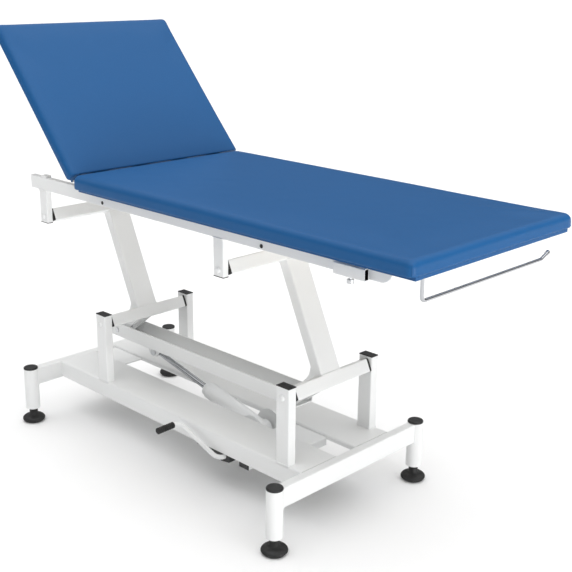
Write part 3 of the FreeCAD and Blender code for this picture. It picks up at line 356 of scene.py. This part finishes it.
def cushion_mesh(name, length, half_width, thickness, roll, end_rolls):
    """A closed pad with a rolled top edge and mitred corners. It starts at x = 0 and stands on z = 0.

    The two end rolls are how far the edge reaches out at its low and its high end along X.
    """
    along = round(length / GRID)
    across = round(2 * half_width / GRID)
    flat_x = (end_rolls[0], length - end_rolls[1])
    flat_y = (roll - half_width, half_width - roll)
    profile = []
    for step in range(1, ROLL_STEPS + 1):
        turn = math.pi / 2 * step / ROLL_STEPS
        profile.append((math.sin(turn), roll * math.cos(turn) - roll))
    for step in range(1, SIDE_STEPS + 1):
        profile.append((1, -roll - (thickness - roll) * step / SIDE_STEPS))

    def build(shape):
        def spot(i, j):
            x = flat_x[0] + (flat_x[1] - flat_x[0]) * i / along
            y = flat_y[0] + (flat_y[1] - flat_y[0]) * j / across
            return x, y

        top = {}
        low = {}
        for i in range(along + 1):
            for j in range(across + 1):
                x, y = spot(i, j)
                top[i, j] = shape.verts.new((x, y, thickness))
        edge = [(i, 0) for i in range(along)] + [(along, j) for j in range(across)]
        edge += [(i, across) for i in range(along, 0, -1)] + [(0, j) for j in range(across, 0, -1)]
        rings = [[top[place] for place in edge]]
        for out, drop in profile:
            ring = []
            for i, j in edge:
                x, y = spot(i, j)
                side_x = (i == along) * end_rolls[1] - (i == 0) * end_rolls[0]
                side_y = ((j == across) - (j == 0)) * roll
                ring.append(shape.verts.new((x + out * side_x, y + out * side_y, thickness + drop)))
            rings.append(ring)
        for upper, lower in zip(rings, rings[1:]):
            for index in range(len(edge)):
                after = (index + 1) % len(edge)
                shape.faces.new((upper[index], upper[after], lower[after], lower[index]))
        last = dict(zip(edge, rings[-1]))
        stretch_x = length / (flat_x[1] - flat_x[0])
        stretch_y = half_width / flat_y[1]
        for i in range(along + 1):
            for j in range(across + 1):
                x, y = spot(i, j)
                place = ((x - length / 2) * stretch_x + length / 2, y * stretch_y, 0)
                low[i, j] = last.get((i, j)) or shape.verts.new(place)
        for i in range(along):
            for j in range(across):
                shape.faces.new((top[i, j], top[i + 1, j], top[i + 1, j + 1], top[i, j + 1]))
                shape.faces.new((low[i, j], low[i, j + 1], low[i + 1, j + 1], low[i + 1, j]))

    return mesh_from(name, build)


def evened(mesh, moves):
    """The moves with the puckers between neighbouring points taken out."""
    beside = [[] for _ in moves]
    for edge in mesh.edges:
        first, second = edge.vertices
        beside[first].append(second)
        beside[second].append(first)
    for _ in range(SMOOTH_PASSES):
        moves = [(move + sum((moves[other] for other in others), Vector())) / (1 + len(others))
                 for move, others in zip(moves, beside)]
    return moves


def blow_up(obj, hinge_x):
    """Fills the cover by a short cloth simulation, held at its underside and its hinge end."""
    start = [vertex.co.copy() for vertex in obj.data.vertices]
    held = obj.vertex_groups.new(name="held")
    held.add([index for index, place in enumerate(start)
              if place.z < HELD_BAND or abs(place.x - hinge_x) < HELD_BAND], 1.0, "REPLACE")
    cloth = obj.modifiers.new("filling", "CLOTH")
    for setting, value in CLOTH_SETTINGS.items():
        setattr(cloth.settings, setting, value)
    cloth.settings.effector_weights.gravity = 0
    cloth.point_cache.frame_start = 1
    cloth.point_cache.frame_end = CLOTH_FRAMES
    scene = bpy.context.scene
    for number in range(1, CLOTH_FRAMES + 1):
        scene.frame_set(number)
    filled = obj.evaluated_get(bpy.context.evaluated_depsgraph_get())
    moved = [vertex.co.copy() for vertex in filled.data.vertices]
    obj.modifiers.remove(cloth)
    scene.frame_set(1)
    moves = [after - before for before, after in zip(start, moved)]
    moves = [move * (MAX_RISE * math.tanh(move.length / MAX_RISE) / move.length) if move.length else move
             for move in moves]
    for vertex, before, move in zip(obj.data.vertices, start, evened(obj.data, moves)):
        vertex.co = before + move


def cushion(name, body, node, length, half_width, thickness, end_rolls, matrix):
    mesh = cushion_mesh(name, length - SIDE_GAP, half_width - SIDE_GAP, thickness - TOP_GAP, PAD_ROLL,
                        end_rolls)
    obj = new_object(name, mesh)
    blow_up(obj, 0 if end_rolls[0] < end_rolls[1] else length - SIDE_GAP)
    smooth(mesh)
    mesh.transform(matrix)
    surface = obj.modifiers.new("surface", "SUBSURF")
    surface.levels = 1
    surface.render_levels = 1
    finish_as(obj, "blue_vinyl")
    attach(obj, body)
    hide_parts(node)
    return obj


SEAT_LENGTH = seat_high.x - seat_low.x
PAD_HALF_WIDTH = seat_high.y
SEAT_THICKNESS = seat_high.z - seat_low.z
seat_place = Matrix.Translation((seat_low.x + SIDE_GAP / 2, 0, seat_low.z))
seat_cushion = cushion("seat_cushion", "bed", "seat_pad", SEAT_LENGTH, PAD_HALF_WIDTH, SEAT_THICKNESS,
                       (HINGE_ROLL, PAD_ROLL), seat_place)
back_place = TO_BACKREST @ Matrix.Translation((-BACKREST_LENGTH + SIDE_GAP / 2, 0,
                                               HINGE_DEPTH - BACKREST_THICKNESS))
backrest_cushion = cushion("backrest_cushion", "backrest", "backrest_pad", BACKREST_LENGTH - HINGE_GAP,
                           PAD_HALF_WIDTH, BACKREST_THICKNESS, (PAD_ROLL, HINGE_ROLL), back_place)

# Shapes of the hard pieces

ROD_SIDES = 20
WIRE_SIDES = 6
BEAD_SIDES = 8
TURNED_SIDES = 48
PLUG_SIDES = 24
ARC_STEPS = 6


def join_rings(shape, rings, closed=False):
    """Joins rings of vertices by faces, and fills the two ends unless the form closes on itself."""
    pairs = list(zip(rings, rings[1:]))
    if closed:
        pairs.append((rings[-1], rings[0]))
    else:
        shape.faces.new(rings[0])
        shape.faces.new(rings[-1])
    for first, second in pairs:
        for index, vertex in enumerate(first):
            after = (index + 1) % len(first)
            shape.faces.new((vertex, first[after], second[after], second[index]))


def turns_round(sides):
    """The angles of evenly spaced points round a circle."""
    return [2 * math.pi * step / sides for step in range(sides)]


def add_rod(shape, path, radii, sides, closed=False):
    """Adds a round rod that follows a path, with a radius at each point."""
    rings = []
    count = len(path)
    side = None
    for index, point in enumerate(path):
        before = path[index - 1] if closed or index > 0 else point
        after = path[(index + 1) % count] if closed or index < count - 1 else point
        along = (after - before).normalized()
        side = side or along.orthogonal()
        side = (side - along * side.dot(along)).normalized()
        other = along.cross(side)
        rings.append([shape.verts.new(point + (side * math.cos(turn) + other * math.sin(turn)) * radii[index])
                      for turn in turns_round(sides)])
    join_rings(shape, rings, closed)


def add_turned(shape, profile, place, sides=TURNED_SIDES):
    """Adds a form turned about its own +Z axis, from pairs of radius and height."""
    rings = []
    for radius, height in profile:
        points = [Vector((radius * math.cos(turn), radius * math.sin(turn), height))
                  for turn in turns_round(sides)]
        rings.append([shape.verts.new(place @ point) for point in points])
    join_rings(shape, rings)


def arc_at(before, corner, after, radius):
    """The points of the arc that rounds a corner."""
    inward = (before - corner).normalized()
    outward = (after - corner).normalized()
    half_turn = inward.angle(outward) / 2
    centre = corner + (inward + outward).normalized() * (radius / math.sin(half_turn))
    setback = radius / math.tan(half_turn)
    first = corner + inward * setback - centre
    last = corner + outward * setback - centre
    turn = first.rotation_difference(last)
    return [centre + Quaternion().slerp(turn, step / ARC_STEPS) @ first for step in range(ARC_STEPS + 1)]


def rounded_outline(corners):
    """The points of a closed outline whose corners are each given with a radius."""
    points = []
    for index, (corner, radius) in enumerate(corners):
        before = corners[index - 1][0]
        after = corners[(index + 1) % len(corners)][0]
        points += arc_at(before, corner, after, radius) if radius else [corner]
    return points


def bent_path(points, bend):
    """The points of a line whose corners are rounded with one radius."""
    path = [points[0]]
    for before, corner, after in zip(points, points[1:], points[2:]):
        path += arc_at(before, corner, after, bend)
    return path + [points[-1]]


def hard_piece(name, build, body, slot, *replaced):
    """A rigid piece, sharp at its steep edges only, that rides on a body and may replace CAD nodes."""
    mesh = mesh_from(name, build)
    smooth(mesh)
    mesh.set_sharp_from_angle(angle=SHARP_ANGLE)
    obj = new_object(name, mesh)
    finish_as(obj, slot)
    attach(obj, body)
    if replaced:
        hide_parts(*replaced)


# Base rails, folded from sheet and open underneath

SHEET = 0.003
FOLD_RADIUS = 0.008
RAIL_LIP = 0.015
RAIL_FLANGE = 0.025


def base_channel(side):
    low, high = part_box(f"base_rail_{side}")
    outward = -1 if side == "near" else 1
    inner = high.y if side == "near" else low.y
    width = high.y - low.y
    height = high.z - low.z
    inside = FOLD_RADIUS - SHEET
    corners = [
        (0, height - RAIL_LIP, 0),
        (0, height, FOLD_RADIUS),
        (width, height, FOLD_RADIUS),
        (width, 0, FOLD_RADIUS),
        (width - RAIL_FLANGE, 0, 0),
        (width - RAIL_FLANGE, SHEET, 0),
        (width - SHEET, SHEET, inside),
        (width - SHEET, height - SHEET, inside),
        (SHEET, height - SHEET, inside),
        (SHEET, height - RAIL_LIP, 0),
    ]
    outline = rounded_outline([(Vector((0, inner + across * outward, low.z + up)), radius)
                               for across, up, radius in corners])

    def build(shape):
        join_rings(shape, [[shape.verts.new((along, point.y, point.z)) for point in outline]
                           for along in (low.x, high.x)])

    hard_piece(f"base_channel_{side}", build, "base", "white_paint", f"base_rail_{side}")


for rail_side in SIDES:
    base_channel(rail_side)

# Levelling feet: dished pucks on a collar and a stem

FOOT_PROFILE = (
    (0.0290, 0.0000), (0.0320, 0.0012), (0.0365, 0.0060), (0.0378, 0.0085), (0.0380, 0.0110),
    (0.0372, 0.0135), (0.0350, 0.0162), (0.0315, 0.0190), (0.0265, 0.0208), (0.0200, 0.0222),
    (0.0160, 0.0238), (0.0142, 0.0270),
)
COLLAR_RADIUS = 0.014
COLLAR_EDGE = 0.001
STEM_RADIUS = 0.008
POST_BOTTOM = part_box("corner_posts_head")[0].z
COLLAR_GAP = 0.0003


def levelling_foot(end, side):
    node = f"levelling_foot_{end}_{side}"
    low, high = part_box(node)
    middle = (low + high) / 2
    collar_top = POST_BOTTOM - COLLAR_GAP
    profile = [*FOOT_PROFILE, (COLLAR_RADIUS, collar_top - COLLAR_EDGE),
               (COLLAR_RADIUS - COLLAR_EDGE, collar_top), (STEM_RADIUS, collar_top), (STEM_RADIUS, high.z)]
    place = Matrix.Translation((middle.x, middle.y, low.z))
    hard_piece(f"foot_puck_{end}_{side}", lambda shape: add_turned(shape, profile, place),
               f"foot_{end}_{side}", "black_rubber", node)


for foot_end in ENDS:
    for foot_side in SIDES:
        levelling_foot(foot_end, foot_side)

# Foot pedal: a bent rod with a ribbed grip

PEDAL_PIVOT = Vector((0.0549, 0, 0.124))
PEDAL_START = -0.125
PEDAL_SIDE = -0.206
PEDAL_REACH = 0.178
PEDAL_RISE = 0.060
PEDAL_BEND = 0.024
PEDAL_RADIUS = 0.007
GRIP_LENGTH = 0.060
GRIP_DROOP = 0.002
GRIP_RADIUS = 0.0100
RIB_COUNT = 9
RIB_DEPTH = 0.0011
RIB_FORM = ((0.2, 0), (0.5, 0), (0.7, 1), (0.95, 1))
DOME_ANGLES = (0, 30, 55, 75)
DOME_SHARE = 1 / 3

pedal_tip = Vector((PEDAL_PIVOT.x - PEDAL_REACH, PEDAL_SIDE - PEDAL_BEND - GRIP_LENGTH,
                    PEDAL_PIVOT.z + PEDAL_RISE - GRIP_DROOP))
pedal_corner = Vector((pedal_tip.x, PEDAL_SIDE, PEDAL_PIVOT.z + PEDAL_RISE))
pedal_path = bent_path([PEDAL_PIVOT + Vector((0, PEDAL_START, 0)), PEDAL_PIVOT + Vector((0, PEDAL_SIDE, 0)),
                        pedal_corner, pedal_tip], PEDAL_BEND)
pedal_radii = [PEDAL_RADIUS] * len(pedal_path)
hard_piece("pedal_rod", lambda shape: add_rod(shape, pedal_path, pedal_radii, ROD_SIDES), "pedal",
           "white_paint", "pedal_crank")


def grip_profile():
    """A sleeve with shallow ribs and a domed end, by its radius and its place along the rod."""
    pitch = GRIP_LENGTH / RIB_COUNT
    profile = [(PEDAL_RADIUS, 0), (GRIP_RADIUS - RIB_DEPTH, 0)]
    for rib in range(RIB_COUNT):
        for share, depth in RIB_FORM:
            profile.append((GRIP_RADIUS - RIB_DEPTH * depth, (rib + share) * pitch))
    for angle in DOME_ANGLES:
        turn = math.radians(angle)
        rise = GRIP_RADIUS * DOME_SHARE * math.sin(turn)
        profile.append((GRIP_RADIUS * math.cos(turn), GRIP_LENGTH + rise))
    return profile


grip_along = (pedal_tip - pedal_corner).normalized()
grip_place = Matrix.Translation(pedal_tip - grip_along * GRIP_LENGTH)
grip_place @= grip_along.to_track_quat("Z", "Y").to_matrix().to_4x4()
hard_piece("pedal_sleeve", lambda shape: add_turned(shape, grip_profile(), grip_place), "pedal",
           "black_rubber", "pedal_grip")

# Paper-roll bar

BAR_RADIUS = 0.0045
BAR_BEND = 0.012
BAR_CAP_RADIUS = 0.0058
BAR_CAP_LENGTH = 0.011
BAR_CAP_SHARES = (0, 0.08, 0.85, 1)
BAR_ACROSS = 0.8309
BAR_NEAR = -0.289
BAR_FAR = 0.205
BAR_HEIGHT = 0.8195
BAR_TIP = Vector((BAR_ACROSS, 0.228, 0.8295))

bar_corner = Vector((BAR_ACROSS, BAR_FAR, BAR_HEIGHT))
bar_path = bent_path([Vector((BAR_ACROSS, BAR_NEAR, board_low.z)),
                      Vector((BAR_ACROSS, BAR_NEAR, BAR_HEIGHT)), bar_corner, BAR_TIP], BAR_BEND)


def bar_and_cap(shape):
    add_rod(shape, bar_path, [BAR_RADIUS] * len(bar_path), ROD_SIDES)
    tip_along = (BAR_TIP - bar_corner).normalized()
    cap = [BAR_TIP + tip_along * BAR_CAP_LENGTH * share for share in BAR_CAP_SHARES]
    add_rod(shape, cap, [BAR_RADIUS, BAR_CAP_RADIUS, BAR_CAP_RADIUS, BAR_RADIUS], ROD_SIDES)


hard_piece("roll_bar", bar_and_cap, "bed", "chrome", "paper_roll_bar")

# Cover turned under the boards, held by staples

WRAP_THICKNESS = 0.001
WRAP_REACH = 0.034
STAPLE_LENGTH = 0.011
STAPLE_WIRE = 0.0006
STAPLE_LEG = STAPLE_WIRE * 2
STAPLE_PITCH = 0.032
STAPLE_INSET = 0.026


def add_staple(shape, place, middle, along):
    """Adds a staple whose wire runs both ways from its middle."""
    half = STAPLE_LENGTH / 2
    path = [place @ (middle + along * shift + Vector((0, 0, rise)))
            for shift, rise in ((-half, STAPLE_LEG), (-half, 0), (half, 0), (half, STAPLE_LEG))]
    add_rod(shape, path, [STAPLE_WIRE] * len(path), WIRE_SIDES)


def wrap_strip(name, body, hinge_end, far_end, half_width, top, place):
    """The cover's edge round a board's outer edge and onto its underside, on all sides but the hinge's."""
    towards = 1 if far_end > hinge_end else -1
    bottom = top - BOARD_THICKNESS
    skin = WRAP_THICKNESS
    section = [(-skin, top), (-skin, bottom - skin), (WRAP_REACH, bottom - skin), (WRAP_REACH, bottom),
               (0, bottom), (0, top)]
    stations = [(hinge_end, -half_width, 0, 1), (far_end, -half_width, -towards, 1),
                (far_end, half_width, -towards, -1), (hinge_end, half_width, 0, -1)]

    def build(shape):
        rings = []
        for x, y, inward_x, inward_y in stations:
            rings.append([shape.verts.new(place @ Vector((x + inward_x * inset, y + inward_y * inset, up)))
                          for inset, up in section])
        join_rings(shape, rings)

    def staples(shape):
        low = bottom - skin - STAPLE_WIRE
        count = round(abs(far_end - hinge_end) / STAPLE_PITCH)
        for index in range(1, count):
            x = hinge_end + (far_end - hinge_end) * index / count
            for side in (-1, 1):
                middle = Vector((x, side * (half_width - STAPLE_INSET), low))
                add_staple(shape, place, middle, Vector((1, 0, 0)))
        across = round(2 * half_width / STAPLE_PITCH)
        for index in range(1, across):
            y = half_width * (2 * index / across - 1)
            middle = Vector((far_end - towards * STAPLE_INSET, y, low))
            add_staple(shape, place, middle, Vector((0, 1, 0)))

    hard_piece(f"{name}_wrap", build, body, "blue_vinyl")
    hard_piece(f"{name}_staples", staples, body, "zinc_steel")


wrap_strip("seat", "bed", seat_low.x, board_high.x, BOARD_HALF_WIDTH, seat_low.z, Matrix())
wrap_strip("backrest", "backrest", -HINGE_GAP, BOARD_INSET - BACKREST_LENGTH, BOARD_HALF_WIDTH,
           HINGE_DEPTH - BACKREST_THICKNESS, TO_BACKREST)

# Seams at the corners of the pads

SEAM_RADIUS = 0.0009
SEAM_SINK = 0.0003
SEAM_STEPS = 12
SEAM_START = 0.003
SEAM_TILTS = (10, 25, 40, 55)
SEAM_PROBE = 0.1


def corner_seams(name, body, cover, length, thickness, place):
    """A sewn ridge down each corner of a pad, laid on the finished cover."""
    surface = BVHTree.FromObject(cover, bpy.context.evaluated_depsgraph_get())
    turn = place.to_3x3()

    def build(shape):
        for x, towards in ((0, -1), (length, 1)):
            for side in (-1, 1):
                outward = Vector((towards, side, 0)).normalized()
                top = thickness - PAD_ROLL
                aims = [(SEAM_START + top * step / SEAM_STEPS, 0) for step in range(SEAM_STEPS)]
                aims += [(top, math.radians(tilt)) for tilt in SEAM_TILTS]
                path = []
                for height, tilt in aims:
                    aim = outward * math.cos(tilt) + Vector((0, 0, math.sin(tilt)))
                    target = Vector((x, side * PAD_HALF_WIDTH, height)) - outward * PAD_ROLL
                    hit = surface.ray_cast(place @ (target + aim * SEAM_PROBE), turn @ -aim)[0]
                    if hit:
                        path.append(hit - turn @ aim * SEAM_SINK)
                add_rod(shape, path, [SEAM_RADIUS] * len(path), BEAD_SIDES)

    hard_piece(name, build, body, "blue_vinyl")


corner_seams("seat_seams", "bed", seat_cushion, SEAT_LENGTH, SEAT_THICKNESS - TOP_GAP, seat_place)
corner_seams("backrest_seams", "backrest", backrest_cushion, BACKREST_LENGTH - HINGE_GAP,
             BACKREST_THICKNESS - TOP_GAP, back_place)

# Push-in plugs in the rails' holes

PLUG_PROFILE = ((0.0025, -0.002), (0.0055, 0.0), (0.0055, 0.0008), (0.0042, 0.0019), (0.0015, 0.0023))
PLUG_PLACES = (-0.3731, 0.3119)
PLUG_HEIGHT = (rail_high.z - rail_low.z) / 4 + rail_low.z


def rail_plugs(shape):
    for side in (-1, 1):
        face = Matrix.Rotation(-side * math.pi / 2, 4, "X")
        for along in PLUG_PLACES:
            place = Matrix.Translation((along, side * -rail_low.y, PLUG_HEIGHT)) @ face
            add_turned(shape, PLUG_PROFILE, place, PLUG_SIDES)


hard_piece("rail_plugs", rail_plugs, "bed", "black_plastic")

# Black liners in the accessory sleeve's open ends, clear of its clamp screw: dark sheets that paint in the
# shade inside the openings

SLEEVE_WALL = 0.002
SHADE_LINER_THICKNESS = 0.0005
SHADE_LINER_LENGTH = 0.025


def sleeve_shade_liners(shape):
    low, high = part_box("accessory_sleeve")

    def ring(x, inset):
        return [shape.verts.new((x, y, z)) for y, z in (
            (low.y + inset, low.z + inset), (high.y - inset, low.z + inset),
            (high.y - inset, high.z - inset), (low.y + inset, high.z - inset))]

    inner = SLEEVE_WALL + SHADE_LINER_THICKNESS
    for start, end in ((low.x, low.x + SHADE_LINER_LENGTH), (high.x - SHADE_LINER_LENGTH, high.x)):
        corners = ((start, SLEEVE_WALL), (end, SLEEVE_WALL), (end, inner), (start, inner))
        join_rings(shape, [ring(x, inset) for x, inset in corners], closed=True)


# The black liners are painted shade inside the sleeve's open ends.
hard_piece("sleeve_shade_liners", sleeve_shade_liners, "bed", "black_plastic")

# Weld beads

WELD_RADIUS = 0.0022
WELD_STEP = 0.0028
WELD_RIPPLE = 0.18
WELD_CORNER = 0.004
ARM_TUBE_HALF = 0.020
COLUMN_SIZE = (0.036, 0.080)
POST_RADIUS = 0.02415
POST_PLACE = (0.5975, 0.3038)
MEMBER_HALF = 0.015
BASE_MIDDLE = -0.2061


def add_weld(shape, path, closed):
    """Adds a rippled bead along a path."""
    corners = path + path[:1] if closed else path
    points = []
    for start, end in zip(corners, corners[1:]):
        count = max(1, round((end - start).length / WELD_STEP))
        points += [start.lerp(end, index / count) for index in range(count)]
    radii = [WELD_RADIUS * (1 + WELD_RIPPLE * (index % 2)) for index in range(len(points))]
    add_rod(shape, points, radii, BEAD_SIDES, closed)


def add_weld_frame(shape, size, place):
    """A bead round the foot of a rectangular tube."""
    half_x, half_y = size[0] / 2, size[1] / 2
    corners = [(Vector((x, y, 0)), WELD_CORNER)
               for x, y in ((-half_x, -half_y), (half_x, -half_y), (half_x, half_y), (-half_x, half_y))]
    add_weld(shape, [place @ point for point in rounded_outline(corners)], True)


def base_welds(shape):
    for end in ENDS:
        for side in SIDES:
            low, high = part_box(f"upright_{end}_{side}")
            middle = (low + high) / 2
            place = Matrix.Translation((middle.x, middle.y, low.z))
            add_weld_frame(shape, (high.x - low.x, high.y - low.y), place)
    member_low, member_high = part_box("base_rail_near")
    meet = math.sqrt(POST_RADIUS ** 2 - MEMBER_HALF ** 2)
    for end in (-1, 1):
        for side in (-1, 1):
            y = side * (POST_PLACE[1] - meet)
            for face in (-1, 1):
                x = BASE_MIDDLE + end * POST_PLACE[0] + face * MEMBER_HALF
                add_weld(shape, [Vector((x, y, member_low.z)), Vector((x, y, member_high.z))], False)


def arm_welds(shape, pivot):
    lean = Matrix.Translation((pivot, 0, PIVOT_HEIGHT)) @ Matrix.Rotation(-ARM_LEAN, 4, "Y")
    for up in (ARM_TUBE_HALF, ARM_LENGTH - ARM_TUBE_HALF):
        add_weld_frame(shape, COLUMN_SIZE, lean @ Matrix.Translation((0, 0, up)))


def bracket_welds(shape):
    for end in ENDS:
        low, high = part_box(f"brackets_{end}")
        depth = rail_high.y - rail_low.y
        for side in (-1, 1):
            place = Matrix.Translation(((low.x + high.x) / 2, side * (high.y - depth / 2), rail_low.z))
            add_weld_frame(shape, (high.x - low.x, depth), place)


hard_piece("base_welds", base_welds, "base", "white_paint")
for arm_name, arm_pivot in PIVOTS.items():
    hard_piece(f"{arm_name}_welds", lambda shape: arm_welds(shape, arm_pivot), arm_name, "white_paint")
hard_piece("bracket_welds", bracket_welds, "bed", "white_paint")

# Camera, floor and lights

CAMERA_PLACE = (2.1172, -2.0227, 1.5178)
CAMERA_PITCH = math.radians(17.294)
CAMERA_YAW = math.radians(44.525)
CAMERA_ROLL = math.radians(0.532)
LENS = 64.26
SENSOR_WIDTH = 36
CLIP_END = 300

camera_data = bpy.data.cameras.new("camera")
camera_data.lens = LENS
camera_data.sensor_width = SENSOR_WIDTH
camera_data.clip_end = CLIP_END
camera = new_object("camera", camera_data)
turned = Matrix.Rotation(CAMERA_YAW, 4, "Z") @ Matrix.Rotation(math.pi / 2 - CAMERA_PITCH, 4, "X")
camera.matrix_world = Matrix.Translation(CAMERA_PLACE) @ turned @ Matrix.Rotation(CAMERA_ROLL, 4, "Z")
bpy.context.scene.camera = camera

FLOOR_REACH = 90


def floor_material():
    paint = Paint("pale_floor", roughness=0.9, specular=0.1)
    paint.colour(paint.mix(paint.noise(0.6), (0.93, 0.93, 0.93), (0.95, 0.95, 0.95)))
    return paint.material


def floor_quad(shape):
    corners = ((-1, -1), (1, -1), (1, 1), (-1, 1))
    shape.faces.new([shape.verts.new((x * FLOOR_REACH, y * FLOOR_REACH, 0)) for x, y in corners])


floor = new_object("floor", mesh_from("floor", floor_quad))
floor.data.materials.append(floor_material())

OVERHEAD_STRENGTH = 0.7
OVERHEAD_SPREAD = math.radians(70)
OVERHEAD_AIM = (-0.25, 0.1, -1)
OVERHEAD_PLACE = (0, 0, 3)
PANEL_SIZE = (3.0, 0.8)
PANEL_POWER = 130
PANEL_AIM = (-1, 0.02, -0.01)
PANEL_PLACE = (6.0, -0.3, 0.5)


def lamp(name, data, towards, place):
    """A light that shines the given way."""
    made = new_object(name, data)
    made.location = place
    made.rotation_euler = Vector(towards).to_track_quat("-Z", "Y").to_euler()


overhead = bpy.data.lights.new("overhead_light", "SUN")
overhead.energy = OVERHEAD_STRENGTH
overhead.angle = OVERHEAD_SPREAD
lamp("overhead_light", overhead, OVERHEAD_AIM, OVERHEAD_PLACE)

panel = bpy.data.lights.new("foot_end_panel", "AREA")
panel.shape = "RECTANGLE"
panel.size, panel.size_y = PANEL_SIZE
panel.energy = PANEL_POWER
lamp("foot_end_panel", panel, PANEL_AIM, PANEL_PLACE)

SKY_RANGE = {"From Min": 0.3, "From Max": 0.8, "To Min": 0.05, "To Max": 1.5}


def studio_sky():
    """A soft light all round that is brightest overhead, with white where it is seen behind the object."""
    world = bpy.data.worlds.new("studio")
    world.use_nodes = True
    tree = world.node_tree
    height = tree.nodes.new("ShaderNodeSeparateXYZ")
    tree.links.new(tree.nodes.new("ShaderNodeTexCoord").outputs["Generated"], height.inputs["Vector"])
    strength = tree.nodes.new("ShaderNodeMapRange")
    tree.links.new(height.outputs["Z"], strength.inputs["Value"])
    for socket, value in SKY_RANGE.items():
        strength.inputs[socket].default_value = value
    backdrop = tree.nodes["Background"]
    backdrop.inputs["Color"].default_value = (1, 1, 1, 1)
    white_behind = tree.nodes.new("ShaderNodeMath")
    white_behind.operation = "MAXIMUM"
    tree.links.new(strength.outputs["Result"], white_behind.inputs[0])
    tree.links.new(tree.nodes.new("ShaderNodeLightPath").outputs["Is Camera Ray"], white_behind.inputs[1])
    tree.links.new(white_behind.outputs["Value"], backdrop.inputs["Strength"])
    return world


bpy.context.scene.world = studio_sky()
bpy.context.scene.view_settings.view_transform = "Standard"
